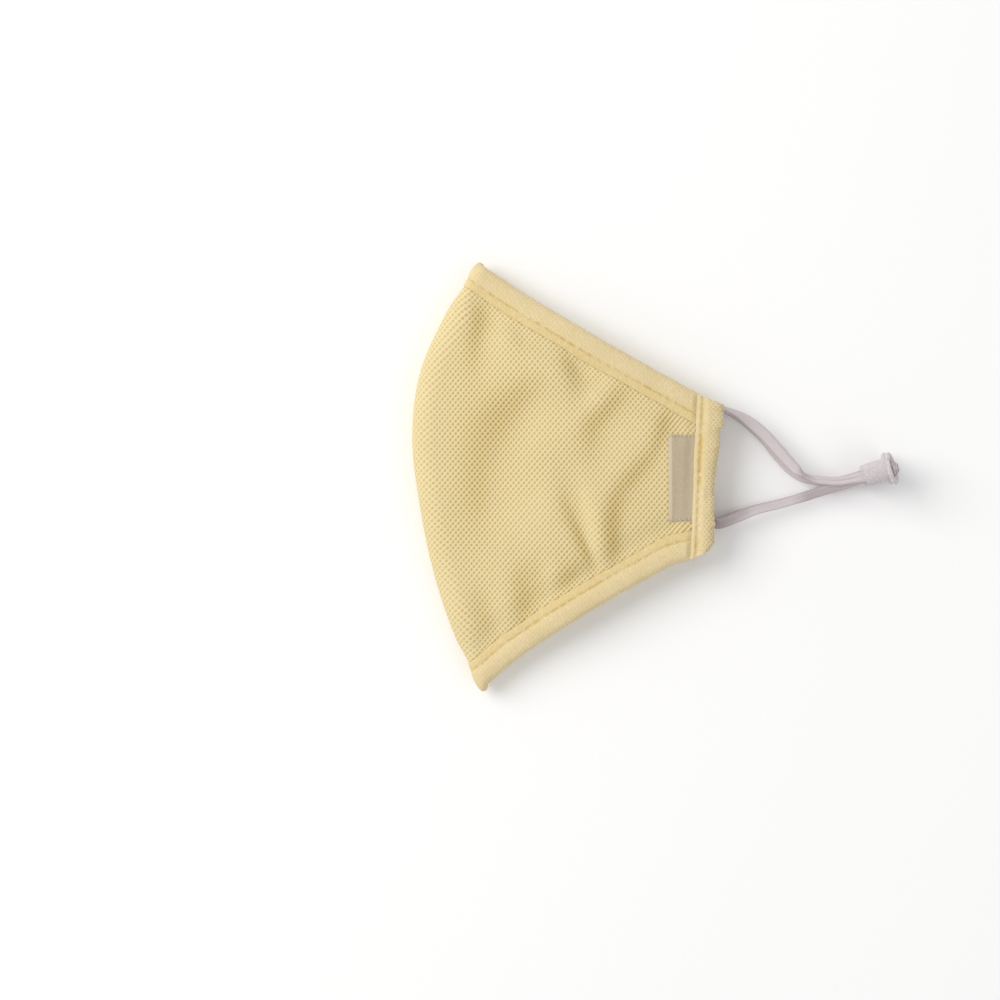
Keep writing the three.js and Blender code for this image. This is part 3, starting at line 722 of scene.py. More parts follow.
brushedFinish = {
    # the groove colour is painted shade in the sewn groove
    "cloth": paint(233, 215, 172), "clothDeep": paint(216, 193, 140), "groove": paint(206, 174, 94),
    # the strip colour is painted shade on the hem's strip by its lip; the greyer colour after it is painted shade on
    # the casing's ear edge
    "pit": paint(184, 152, 92), "stripShade": paint(220, 192, 117), "edgeShade": paint(196, 178, 146),
    "fibreShare": 0.7, "patchShare": 0.25, "cell": (1.36, 1.6), "roughness": 0.92,
    "fibreBump": 0.09, "pitBump": 0.12, "grooveBump": 0.15,
}
# each cloth's sewn line across the band, and the runs across it where knit pits and painted shade come up
hemFinish = {
    "sewn": {"Line": 6.0, "Half Width": 0.5, "Pitch": 3.3, "Share": 0.72},
    "pits": (0.0, 8.0, 0.24, 0.18), "shadeAcross": (5.8, 6.5, 0.0, 0.5), "shadeColour": "stripShade",
}
# on the casing the second colour is painted shade, greyer, where the cloth rolls round the ear edge
casingFinish = {
    "sewn": {"Line": 1.8, "Half Width": 0.8, "Pitch": 7.0, "Share": 0.82},
    "pits": (2.4, 4.6, 0.12, 0.8), "shadeAcross": (4.2, 6.2, 0.0, 0.5), "shadeColour": "edgeShade",
}


# brushed knit of hems and casings: fibres, faint pits of the knit, painted shade across the band, and a sewn groove
# darkened by painted shade
def brushedMaterial(name, cloth):
    facts = brushedFinish
    material, shade, kit = newFinish(name, facts["roughness"], 0.15)
    add, calc, times, lack, ramp, _ = kit
    (weave, place), seat = weaveOf(add), seatOf(add)
    fluff = useGroup(add, fibres, {"Position": seat, "Fineness": 2.2})
    groove = useGroup(add, sewnLine, {"Weave": weave, "Wander": 0.6, **cloth["sewn"]})["Groove"]
    perCell = tuple(1 / side for side in facts["cell"]) + (0,)
    cells = add("VectorMath", {0: seat, 1: perCell}, operation="MULTIPLY").outputs[0]
    faint = {"Cells": cells, "Hole Edge": 0.1, "Softness": 0.8, "Wander": 0.4}
    holes = useGroup(add, honeycomb, faint)["Hole"]
    pits = times(holes, ramp(place[1], *cloth["pits"]))
    # darker in the knit's pits
    darkPits = times(ramp(fluff["Fibre"], 0.2, 0.9, 0.5, 1.0), pits)
    # painted shade across the band: on the hem's strip by its lip, and on the casing's rolled ear edge
    bandShade = times(ramp(place[1], *cloth["shadeAcross"]), ramp(fluff["Fibre"], 0.1, 0.9, 1.0, 0.3))
    # painted shade in the sewn groove, broken up by the fibre patches
    grooveShade = times(groove, ramp(fluff["Patch"], 0.0, 1.0, 0.25, 0.85))
    layers = [
        (lack(fluff["Fibre"], facts["fibreShare"]), "clothDeep"),
        (times(fluff["Patch"], facts["patchShare"]), "clothDeep"),
        (darkPits, "pit"), (bandShade, cloth["shadeColour"]), (grooveShade, "groove"),
    ]
    height = times(fluff["Fibre"], facts["fibreBump"])
    height = calc("SUBTRACT", height, times(pits, facts["pitBump"]))
    height = calc("SUBTRACT", height, times(groove, facts["grooveBump"]))
    dress(kit, shade, facts, "cloth", layers, height, 0.6)
    return material


labelFinish = {
    "satin": paint(204, 189, 161), "satinDeep": paint(174, 157, 129), "selvage": paint(216, 199, 170),
    "endRow": paint(150, 146, 160), "rowShare": 0.4, "fibreShare": 0.6, "roughness": 0.55,
    "selvageRun": (1.25, 0.75), "middle": 12.8, "endRun": (11.6, 12.5), "rowBump": 0.02, "fibreBump": 0.04,
}


# satin of the label: fine rows, a lighter selvage on its free side, and a speckled row at both ends
def labelMaterial():
    facts = labelFinish
    material, shade, kit = newFinish("wovenLabel", facts["roughness"], 0.1)
    add, calc, times, _, ramp, _ = kit
    weave, place = weaveOf(add)
    woven = useGroup(add, ribs, {"Weave": weave, "Row": 0.74, "Rib": 0.94, "Slant": 1.6})
    fibre = useGroup(add, fibres, {"Position": seatOf(add), "Fineness": 3.2})["Fibre"]
    fromMiddle = calc("ABSOLUTE", calc("SUBTRACT", place[0], facts["middle"]))
    speck = times(ramp(fromMiddle, *facts["endRun"]), woven["Rib"])
    layers = [
        (times(woven["Row"], facts["rowShare"]), "satinDeep"),
        (times(fibre, facts["fibreShare"]), "satinDeep"),
        (ramp(place[1], *facts["selvageRun"]), "selvage"), (times(speck, fibre), "endRow"),
    ]
    height = times(woven["Row"], facts["rowBump"])
    height = calc("ADD", height, times(fibre, facts["fibreBump"]))
    dress(kit, shade, facts, "satin", layers, height, 0.7)
    return material


elasticFinish = {
    "yarn": paint(226, 217, 219), "yarnDeep": paint(198, 186, 188), "edge": paint(178, 165, 167),
    # the shaded colour is painted shade, on the parts of a strand twisted away from the light
    "shaded": paint(152, 138, 141), "rowShare": 0.6, "ribShare": 0.35, "fibreShare": 0.35, "roughness": 0.8,
    "edgeRun": (1.3, 1.9, 0.0, 0.5), "shadedRun": (0.0, 1.0, 0.95, 0.55), "rowBump": 0.05, "ribBump": 0.07,
}


# knitted elastic: rows and ribs of yarn, darker at its edges, and painted shade where a strand's shape says its face
# is turned away from the light
def elasticMaterial():
    facts = elasticFinish
    material, shade, kit = newFinish("knittedElastic", facts["roughness"], 0.1)
    add, calc, times, lack, ramp, _ = kit
    weave, place = weaveOf(add)
    knitted = useGroup(add, ribs, {"Weave": weave, "Row": 0.75, "Rib": 0.62, "Slant": 0.9})
    fibre = useGroup(add, fibres, {"Position": seatOf(add), "Fineness": 3.4})["Fibre"]
    layers = [
        (lack(knitted["Row"], facts["rowShare"]), "yarnDeep"),
        (lack(knitted["Rib"], facts["ribShare"]), "yarnDeep"),
        (times(fibre, facts["fibreShare"]), "yarnDeep"),
        (ramp(calc("ABSOLUTE", place[1]), *facts["edgeRun"]), "edge"),
        (times(place[2], ramp(knitted["Row"], *facts["shadedRun"])), "shaded"),
    ]
    height = times(knitted["Row"], facts["rowBump"])
    height = calc("ADD", height, times(knitted["Rib"], facts["ribBump"]))
    dress(kit, shade, facts, "yarn", layers, height, 0.8)
    return material


siliconeFinish = {
    "clear": paint(216, 208, 210), "cloud": paint(203, 194, 197), "roughness": 0.5, "cloudRun": (0.35, 0.7),
    "subsurface": {"Weight": 0.35, "Radius": (0.002, 0.0018, 0.0018), "Scale": 1.0},
}


# cloudy silicone that lets light in a little
def siliconeMaterial():
    facts = siliconeFinish
    material, shade, kit = newFinish("softSilicone", facts["roughness"])
    add, ramp = kit[0], kit[-2]
    cloudy = add("TexNoise", {"Vector": seatOf(add), "Scale": 1.9, "Detail": 1.0}).outputs[0]
    for key, value in facts["subsurface"].items():
        shade.inputs["Subsurface " + key].default_value = value
    layers = [(ramp(cloudy, *facts["cloudRun"]), "cloud")]
    dress(kit, shade, facts, "clear", layers, cloudy, 0.3, 0.0004)
    return material


def paperMaterial():
    material, shade, (add, *_, tint) = newFinish("palePaper", 0.85)
    place = add("TexCoord").outputs["Object"]
    grain = add("TexNoise", {"Vector": place, "Scale": 900.0, "Detail": 2.0}).outputs[0]
    colour = tint(grain, paint(253, 253, 253), paint(255, 255, 255))
    material.node_tree.links.new(colour, shade.inputs["Base Color"])
    return material


honeycombCloth = honeycombMaterial()
hemCloth = brushedMaterial("hemCloth", hemFinish)
casingCloth = brushedMaterial("casingCloth", casingFinish)
labelCloth, elasticKnit, softSilicone = labelMaterial(), elasticMaterial(), siliconeMaterial()
print("finishes made")


# the two honeycomb panels
knit = {
    "period": (1.59, 1.866),      # a hole at each corner and one in the middle of this cell
    "perCell": (4, 6),            # grid steps of the outer face in a cell
    "coarser": (4, 3),            # outer steps in one step of the inner face
    "columns": (-60, 45), "endShare": 0.35,
    "holeDepth": 0.26, "ridge": 0.02, "holeEdge": 0.1, "holeRun": 0.75, "insideOpen": 0.3,
    "underHem": 4.6, "underCasing": 0.8,
    # stretched spots, each with its middle and half width in x and in y: both ends of the label, and the rest
    "stretched": (((33.0, 6.5), (17.0, 3.6)), ((34.5, 4.5), (-16.0, 3.0)), ((-2.0, 20), (-14.0, 20))),
    "stretch": (0.02, 0.6, 0.12), "stretchRipple": (0.06, 26, 4),
    # slopeStep points away from the key light, and the second number of open scales that slope: painted shade on
    # crease sides turned from the light
    "frontOpen": (0.55, 0.45, 12), "slopeStep": (0.9, 0.4), "open": (0.54, 0.45), "openRipple": (0.08, 34, 9),
    "openLimits": (0.25, 1),
}
# search for a point of the flat cloth: its first guess, probe steps, longest moves and limits
clothSearch = {
    "bottom": 0.1, "tall": 130.4, "firstLimits": (0.02, 0.98), "left": 45.0, "least": 0.5,
    "rounds": 14, "steps": (1e-3, 1e-5), "moves": (15, 0.1), "limits": (0.001, 0.999),
}


# cloth unrolled flat: along a row past the fold's end it is the plan, and before it the row goes straight on
def unrolled(half, s, w):
    start, roll = foldOf(half, w)
    arc = arcOf(half, w)
    length = rowLength(w)
    u = (start + roll + np.maximum(0, s - arc)) / length
    here = cupPlan(u, w)
    ahead = unit(cupPlan(u + 1e-3, w) - here)
    return here + ahead * np.minimum(0, s - arc)[..., None]


# length of the quarter ellipse of the fold, by the root mean square of its half axes
def arcOf(half, w):
    rise = abs(blend(cup["tipLevelHigh"], cup["hemLevelLow"], half["side"] < 0) - cup["seamHeight"])
    roll = foldOf(half, w)[1]
    return np.pi / 2 * np.sqrt((roll ** 2 + rise ** 2) / 2)


# share of the way from seam to side: one at the fold's end, and two at the side
def toFold(half, s, w):
    start, roll = foldOf(half, w)
    arc = arcOf(half, w)
    return np.where(s < arc, s / arc, 1 + (s - arc) / (rowLength(w) - start - roll))


# where a point of the flat cloth lies, found by Newton steps from a first guess: each solves two by two
def findCloth(half, x, y):
    facts = clothSearch
    w = clamp((y - chinTip[1] - facts["bottom"]) / facts["tall"], *facts["firstLimits"])
    s = np.maximum(facts["least"], x + facts["left"])
    (stepS, stepW), (moveS, moveW) = facts["steps"], facts["moves"]
    for _ in range(facts["rounds"]):
        here = unrolled(half, s, w)
        byS = (unrolled(half, s + stepS, w) - here) / stepS
        byW = (unrolled(half, s, w + stepW) - here) / stepW
        missX, missY = x - here[..., 0], y - here[..., 1]
        det = byS[..., 0] * byW[..., 1] - byS[..., 1] * byW[..., 0]
        s = s + clamp((missX * byW[..., 1] - missY * byW[..., 0]) / det, -moveS, moveS)
        w = w + clamp((byS[..., 0] * missY - byS[..., 1] * missX) / det, -moveW, moveW)
        w = clamp(w, *facts["limits"])
    return s, w


# outline of the visible cloth in the flat: seam on the left, and hem and casing on the right
def clothLimits(half):
    w = np.linspace(0.0005, 0.9995, 900)
    seam = unrolled(half, np.zeros_like(w), w)
    share = np.linspace(0, 1, 900)
    low = cupPlan(share, knit["underHem"] * rowStep(share, 0))
    high = cupPlan(share, 1 - knit["underHem"] * rowStep(share, 1))
    side = sideLine(share) - [knit["underCasing"], 0]
    return seam, low, high, side


# ends of each row of the flat cloth: the seam, and the first of hem and casing that the row meets
def gridRows(seam, low, high, side, y):
    left = np.interp(y, seam[:, 1], seam[:, 0])
    onLow = np.interp(y, low[:, 1], low[:, 0], left=-99, right=99)
    onHigh = np.interp(-y, -high[:, 1], high[:, 0], left=-99, right=99)
    onSide = np.interp(y, side[:, 1], side[:, 0])
    right = np.minimum(np.minimum(onLow, onHigh), onSide)
    return left, right


# rows of one cloth grid, each cut to its own ends: a column past an end is the end point itself
def cutGrid(left, right, columns, step):
    spare = knit["endShare"]
    first = np.floor((left - columns[0]) / step + spare).astype(int)
    last = np.ceil((right - columns[0]) / step - spare).astype(int)
    last = np.maximum(last, first + 1)
    first[[0, -1]] = last[[0, -1]] = first[[0, -1]]
    starts = np.concatenate([[0], np.cumsum(last - first + 1)])
    index = np.clip(np.arange(len(columns)), first[:, None], last[:, None])
    index = index - first[:, None] + starts[:-1, None]
    count = starts[-1]
    rowOf = np.repeat(np.arange(len(left)), last - first + 1)
    column = np.arange(count) - starts[rowOf] + first[rowOf]
    x = columns[0] + column * step
    x = np.where(column == first[rowOf], left[rowOf], np.where(column == last[rowOf], right[rowOf], x))
    ends = starts[:-1], starts[1:] - 1
    return index, rowOf, x, ends


# faces without those whose corners fall together
def wholeFaces(faces):
    a, b, c = faces.T
    return faces[(a != b) & (b != c) & (a != c)]


def gridTriangles(index):
    a, b, c, d = index[:-1, :-1], index[:-1, 1:], index[1:, 1:], index[1:, :-1]
    return wholeFaces(np.concatenate([np.stack(half, -1).reshape(-1, 3) for half in ((a, b, c), (a, c, d))]))


# joins a fine chain of points to a coarse one that has one point for each "every" of it
def zipChains(fine, coarse, every):
    j = np.arange(len(fine) - 1)
    group = j // every
    late = (j - group * every) >= every - 1
    fans = np.stack([fine[:-1], fine[1:], coarse[group + late]], -1)
    hinge = fine[np.arange(len(coarse) - 1) * every + every - 1]
    steps = np.stack([coarse[1:], coarse[:-1], hinge], -1)
    return np.concatenate([fans, steps])


# stretched cloth: two bells at the label's ends turn holes into slits, and slow ripples stretch a little more
def stretchAt(x, y):
    above, below, loose = (bump(x, *inX) * bump(y, *inY) for inX, inY in knit["stretched"])
    base, ends, rest = knit["stretch"]
    high, pitch, seed = knit["stretchRipple"]
    return clamp(base + ends * np.maximum(above, below) + rest * loose + high * ripple(x, y, pitch, seed))


# how open and deep the holes are: less at the front fold, more where a crease falls away from the key light, which in
# the colour is painted shade on those crease sides
def openAndShadeAt(x, y, s):
    least, more, run = knit["frontOpen"]
    front = least + more * smooth(s / run)
    stepX, stepY = knit["slopeStep"]
    slope = creaseHeight(x - stepX, y + stepY) - creaseHeight(x + stepX, y - stepY)
    base, bySlope = knit["open"]
    high, pitch, seed = knit["openRipple"]
    return clamp(front * (base + bySlope * slope + high * ripple(x, y, pitch, seed)), *knit["openLimits"])


# knitted relief: a hole where the cosines along both slants add up, and rising threads a little higher
def knitRelief(x, y, stretch, openAndShade):
    a, b = x / knit["period"][0] * fullTurn, y / knit["period"][1] * fullTurn
    level = 0.5 * ((1 + stretch) * np.cos(a - b) + (1 - stretch) * np.cos(a + b))
    thread = 0.5 - 0.5 * np.cos(a - b)
    hole = riseFrom(level, knit["holeEdge"], knit["holeRun"])
    return knit["ridge"] * thread - knit["holeDepth"] * openAndShade * hole


# one face of a panel as points of the flat cloth, with their places on the wall; a row starts on the seam
def layCloth(half, left, right, columns, step, y):
    index, rowOf, x, ends = cutGrid(left, right, columns, step)
    y = y[rowOf]
    s, w = findCloth(half, x, y)
    s = np.where(np.isin(np.arange(len(s)), ends[0]), 0, np.maximum(s, 0))
    return index, ends, x, y, s, toFold(half, s, w), w


# panel wall: the outer face carries the relief on its fine grid, and the inner face is smooth on a coarse one
def knitPanel(name, half, material):
    seam, low, high, side = clothLimits(half)
    stepX, stepY = (period / count for period, count in zip(knit["period"], knit["perCell"]))
    skip, every = knit["coarser"]
    misses = (np.abs(np.interp(line[:, 1], seam[:, 1], seam[:, 0]) - line[:, 0]) for line in (low, high))
    bottomTip, topTip = (line[np.argmin(miss)] for line, miss in zip((low, high), misses))
    firstRow = math.ceil(bottomTip[1] / stepY) - 1
    rowCount = math.ceil((topTip[1] / stepY - firstRow + 1) / every) * every + 1
    rows = (firstRow + np.arange(rowCount)) * stepY
    rows[0], rows[-1] = bottomTip[1], topTip[1]
    rows = np.minimum(np.maximum(rows, bottomTip[1]), topTip[1])
    columns = np.round(np.arange(*knit["columns"], stepX) / stepX) * stepX
    left, right = gridRows(seam, low, high, side, rows)
    right = np.maximum(right, left + 1e-3)

    index, ends, x, y, s, t, w = layCloth(half, left, right, columns, stepX, rows)
    stretch, openAndShade = stretchAt(x, y), openAndShadeAt(x, y, s)
    outer = skinOf(half, t, w, halfThickness(t, w) + knitRelief(x, y, stretch, openAndShade))
    cells = np.stack([x / knit["period"][0], y / knit["period"][1], stretch], -1)

    index2, ends2, x, y, s, t, w = layCloth(
        half, left[::every], right[::every], columns[::skip], stepX * skip, rows[::every])
    inner = skinOf(half, t, w, -halfThickness(t, w))
    cells2 = np.stack([x / knit["period"][0], y / knit["period"][1], 0 * s], -1)

    shift = len(outer)
    faces = wholeFaces(np.concatenate([
        gridTriangles(index),
        gridTriangles(index2)[:, ::-1] + shift,
        zipChains(ends[0], ends2[0] + shift, every),
        zipChains(ends[1], ends2[1] + shift, every)[:, ::-1],
    ]))
    openAndShade = np.concatenate([openAndShade, 0 * s + knit["insideOpen"]])
    piece = makePiece(
        name, np.concatenate([outer, inner]), faces, material, "honeycomb_knit",
        weave=np.concatenate([cells, cells2]), openAndShade=openAndShade, angle=75)
    print(name, "has", len(faces), "triangles")
    return piece


panelLeft = knitPanel("knit_panel_left", upperHalf, honeycombCloth)
panelRight = knitPanel("knit_panel_right", lowerHalf, honeycombCloth)
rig.replaces(panelLeft, "panel_left")
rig.replaces(panelRight, "panel_right")


# hems along the nose and chin edges
hemFacts = {
    "foldStations": 24, "stations": 330, "points": 64, "foldLength": 4.5, "sideGap": 0.4,
    "slotHalf": 0.9, "slotEnds": (8.4, 1.6), "seamSlim": 0.78,
    # across the band from its lip: distance in from the outline, height over the wall's middle
    "section": [
        (8.45, 0.92), (8.6, 1.05), (8.42, 1.3), (7.9, 1.47), (7.1, 1.56), (6.4, 1.6), (5.6, 1.72), (4.8, 1.92),
        (3.8, 2.04), (2.6, 2.0), (1.4, 1.72), (0.6, 1.22), (0.12, 0.6), (0.0, 0.0),
    ],
    "groove": (6.0, 0.46, 0.24, 3.3),              # place, half width, depth and stitch pitch
    "crowd": (0.35, 0.9, (8.4, 0.5, 0.4)),         # points everywhere, more at the groove, and at the lip
    "taper": (0.5, 2.2), "closedHalf": (0.86, 9), "slotSlim": 0.72,
    "roll": (3.2, 2.6), "puff": 0.16, "puffLength": 13,
    "wobble": (0.14, 5.5), "fuzz": (0.1, 1.3), "roughRun": 3.2, "tipRun": 4.5,
    # how far the end of each hem stands out from the drawn tip, and over which length
    "tips": {
        (1, 1): (0.0, 0.55, 1.5), (1, -1): (-0.3, -0.9, 4.0),
        (0, 1): (0.5, -1.0, 2.8), (0, -1): (0.2, 0.3, 3.0),
    },
}
sewing = {"sway": (0.16, 13), "pull": (0.6, 0.4), "drift": (2.5, 17)}


# shares along a curve, closer together where the weight is high
def unevenShares(weight, count):
    run = np.concatenate([[0], np.cumsum(weight)])
    return np.interp(np.linspace(0, 1, count), run / run[-1], np.linspace(0, 1, len(run)))


def mirrored(half):
    return np.concatenate([half, (half * [1, -1])[-2::-1]])


# sewn groove: a bell across the line, which sways, deeper along each stitch by a cosine that drifts
def grooveDepth(along, across, groove, seed):
    line, halfWidth, deep, pitch = groove
    sway = waves(along, [(*sewing["sway"], seed)])
    phase = along / pitch * fullTurn + waves(along, [(*sewing["drift"], seed + 1)])
    pull = sewing["pull"][0] + sewing["pull"][1] * np.cos(phase)
    return deep * pull * bump(across, line + sway, halfWidth)


# band folded over the wall's edge: at each station its section, with a roll puffed by ripples, the sewn
# groove, an edge roughened by waves, a slot where the wall goes, and its tip moved under a bell
def hemBand(name, half, edge, material, seed):
    facts = hemFacts
    curve = curveThrough(facts["section"])
    probe = curve(np.linspace(0, 1, 400))[:, 0]
    base, grooveWide, (lip, lipWide, lipShare) = facts["crowd"]
    weight = base + bump(probe, facts["groove"][0], grooveWide) + lipShare * bump(probe, lip, lipWide)
    outline = mirrored(curve(unevenShares(weight, facts["points"])))
    slotStart, bottom = facts["slotEnds"]
    slot = mirrored(np.stack([np.append(np.linspace(slotStart, bottom, facts["points"] - 1), bottom),
                              np.append(np.full(facts["points"] - 1, facts["slotHalf"]), 0)], -1))
    length = float(rowLength(edge))
    t = np.concatenate([
        np.linspace(0, 1, facts["foldStations"], endpoint=False),
        np.linspace(1, 2 - facts["sideGap"] / length, facts["stations"] - facts["foldStations"]),
    ])
    along = np.where(t < 1, t * facts["foldLength"], facts["foldLength"] + (t - 1) * length)[:, None]
    t = t[:, None]
    u = clamp(t - 1)
    taper = riseFrom((1 - u) * length, *facts["taper"])

    def place(s, lift):
        w = 1 - s * rowStep(u, 1) if edge else s * rowStep(u, 0)
        return skinOf(half, t, w, lift)

    s, n = outline[None, :, 0], outline[None, :, 1]
    puffed = np.maximum(0, np.abs(n) - facts["slotHalf"])
    roll = facts["puff"] * bump(s, *facts["roll"])
    puffed = puffed + roll * ripple(along, 2 * s, facts["puffLength"], seed)
    puffed = puffed * blend(facts["seamSlim"], 1, clamp(t)) - grooveDepth(along, s, facts["groove"], seed + 3)
    lift = np.where(np.abs(n) < facts["slotHalf"], np.abs(n), facts["slotHalf"] + puffed * taper)
    lift = np.sign(n) * np.minimum(lift, blend(*facts["closedHalf"], taper))
    rough = waves(along, [(*facts["wobble"], seed + 7), (*facts["fuzz"], seed + 8)])
    outer = place(s - fadeOut(s, 0, facts["roughRun"]) * rough, lift)
    inner = place(slot[None, :, 0], slot[None, :, 1] * blend(facts["slotSlim"], 1, taper))
    stepX, stepY, span = facts["tips"][edge, half["side"]]
    drawn = np.exp(-(along / span) ** 2) * fadeOut(s, 0, facts["tipRun"])
    outer = outer + drawn[..., None] * [stepX, stepY, 0]
    weave = np.stack(np.broadcast_arrays(along, s), -1)
    return wallPiece(name, outer, inner, material, "hem_knit", weave)


sewnOn = {"left": [], "right": []}
for half, word in ((upperHalf, "left"), (lowerHalf, "right")):
    for edge, place in ((1, "top"), (0, "bottom")):
        seed = 10 * edge + (5 if word == "left" else 30)
        band = hemBand(f"{place}_band_{word}", half, edge, hemCloth, seed)
        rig.replaces(band, f"{place}_hem_{word}")
        sewnOn[word].append(band)
print("hems made")

# side casings, in section from the flap's edge over the front and round the ear edge: distance from the
# flap's edge and height; along a mouth the elastic goes in beneath a thin lip
flapFront = [
    (0.1, 0.92), (-0.02, 1.08), (0.08, 1.28), (0.5, 1.52), (1.05, 1.6), (1.75, 1.62), (2.5, 1.86), (3.4, 2.08),
]
flapLining = [(0.3, 0.9), (0.6, 0.9), (1.2, 0.92), (1.8, 0.95)]
casingFacts = {
    "stations": 240, "points": 56, "backPoints": 30, "low": 2.05, "high": 10.8,
    "mouths": ((9.5, 22.4), (-17.6, -6.5)), "mouthRun": (0.6, 1.2),
    "front": flapFront + [
        (4.4, 2.03), (5.2, 1.85), (5.9, 1.4), (6.35, 0.7), (6.5, 0.0), (6.4, -0.7), (6.0, -1.25), (5.4, -1.6),
    ],
    "mouthFront": flapFront + [
        (4.4, 2.06), (5.2, 1.96), (5.8, 1.78), (6.3, 1.52), (6.5, 1.28), (6.36, 1.1), (5.9, 1.05), (5.3, 1.03),
    ],
    "mouthLining": flapLining + [
        (2.4, 0.97), (3.0, 0.97), (3.5, 0.97), (3.9, 0.97), (4.2, 0.97), (4.5, 0.98), (4.7, 0.98), (4.9, 0.99),
        (5.1, 1.0),
    ],
    "lining": flapLining + [
        (2.8, 0.97), (3.8, 0.97), (4.8, 0.95), (5.4, 0.8), (5.7, 0.4), (5.75, 0.0), (5.7, -0.4), (5.4, -0.8),
        (5.1, -0.98),
    ],
    "backFront": [
        (0.3, -0.9), (0.02, -1.1), (0.05, -1.5), (0.6, -1.72), (1.1, -1.6), (1.7, -1.85), (3.2, -1.95),
        (4.6, -1.9), (5.5, -1.62),
    ],
    "backLining": [(0.4, -0.88), (0.6, -0.9), (1.5, -0.95), (3.0, -0.97), (4.5, -0.97), (5.2, -0.98)],
    "backParts": ((0.0, 0.144), (0.372, 0.692), (0.953, 1.0)),   # where the back layer is, by the length
    "backStations": (12, 90),                                    # at least, and more over the whole length
    "groove": (1.8, 0.62, 0.3, 2.9), "crowd": (0.4, 0.8), "puff": 0.14, "roll": (3.6, 2.2), "puffLength": 9,
    "fixed": 2.0, "drawn": 6.5, "edge": (3, 3.3),                # the flap keeps its width, the rest fills up
    "topStep": (0.6, 14.3, 0.7), "cornerCut": (1.5, 0.05),
    "edgeDents": ((-0.3, 12.6, 1.6), (0.35, -14.5, 2.0)),        # reach, middle and half width
    "edgeWaves": ((0.16, 4.5, 21), (0.12, 1.2, 23)), "flapWaves": ((0.14, 11, 33), (0.08, 2.6, 34)),
}


# point of a casing: s across from its inner line to its outer one, stretched to the width there, moved by the
# step, dents, corner and waves of the ear edge, and n out of its level
def casingPoint(half, share, s, n):
    facts = casingFacts
    share, s, n = np.broadcast_arrays(share, s, n)
    start, end = casingInner(share), casingOuter(share)
    y = end[..., 1]
    width = np.linalg.norm(end - start, axis=-1)
    step, stepStart, stepRun = facts["topStep"]
    far = step * riseFrom(y, stepStart, stepRun)
    for reach, middle, halfWidth in facts["edgeDents"]:
        far = far + reach * bump(y, middle, halfWidth)
    far = far - facts["cornerCut"][0] * fadeOut(share, 0, facts["cornerCut"][1])
    for part in facts["edgeWaves"]:
        far = far + waves(y, [part])
    fixed, drawn = facts["fixed"], facts["drawn"]
    across = np.where(s < fixed, s, fixed + (s - fixed) * (width - fixed) / (drawn - fixed))
    across = across + far * riseFrom(s, *facts["edge"])
    plan = start + (end - start) * (across / width)[..., None]
    plan[..., 0] += waves(y, facts["flapWaves"]) * fadeOut(s, 0, fixed)
    level = facts["low"] if half["side"] < 0 else facts["high"]
    return np.concatenate([plan, (level + half["side"] * n)[..., None]], -1)


# one sheet of a casing: its section and lining at each station, blended towards the mouths' ones
def casingSheet(half, name, sections, shares, seed):
    facts = casingFacts
    share = shares[:, None]
    along = share * casingInner.length
    y = casingInner(share)[..., 1]
    spare, run = facts["mouthRun"]
    gap = 0 * y
    for low, high in facts["mouths"]:
        gap = np.maximum(gap, riseFrom(y, low - spare, run) * smooth((high + spare - y) / run))
    front, lining = (blend(plain[None], mouth[None], gap[..., None]) for plain, mouth in sections)
    s, n = front[..., 0], front[..., 1]
    soft = facts["puff"] * bump(s, *facts["roll"]) * ripple(along, 3 * s, facts["puffLength"], seed)
    sunk = grooveDepth(along, s, facts["groove"], seed)
    outer = casingPoint(half, share, s, n + np.sign(n) * (soft - sunk))
    inner = casingPoint(half, share, lining[..., 0], lining[..., 1])
    weave = np.stack(np.broadcast_arrays(along, s), -1)
    return wallPiece(name, outer, inner, casingCloth, "hem_knit", weave)


# cover of a casing, and the parts of its back that the mouths leave
def sideCasing(half, word):
    facts = casingFacts
    probe = curveThrough(facts["front"])(np.linspace(0, 1, 400))[:, 0]
    base, grooveWide = facts["crowd"]
    crowded = unevenShares(base + bump(probe, facts["groove"][0], grooveWide), facts["points"])
    even, evenBack = np.linspace(0, 1, facts["points"]), np.linspace(0, 1, facts["backPoints"])
    cover = [[curveThrough(facts[key])(shares) for key in keys]
             for keys, shares in ((("front", "mouthFront"), crowded), (("lining", "mouthLining"), even))]
    piece = casingSheet(half, f"casing_cover_{word}", cover, np.linspace(0, 1, facts["stations"]), 14)
    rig.replaces(piece, f"side_casing_{word}")
    sewnOn[word].append(piece)
    back = [[curveThrough(facts[key])(evenBack)] * 2 for key in ("backFront", "backLining")]
    least, more = facts["backStations"]
    for number, (low, high) in enumerate(facts["backParts"]):
        shares = np.linspace(low, high, least + int(more * (high - low)))
        sewnOn[word].append(casingSheet(half, f"casing_back_{word}_{number + 1}", back, shares, 15))


for half, word in ((upperHalf, "left"), (lowerHalf, "right")):
    sideCasing(half, word)
print("casings made")

# bare woven label beside the casing
labelFacts = {
    "left": 30.3, "bottom": -13.1, "top": 12.5, "thickness": 0.38, "gap": 0.05, "grid": (150, 44),
    "underCasing": 0.15, "sideWave": (0.06, 9, 2), "endWave": (0.1, 5, 6),
    "pucker": 0.07, "puckerLength": 7, "endPucker": (0.16, 1.2, 2.6),
}


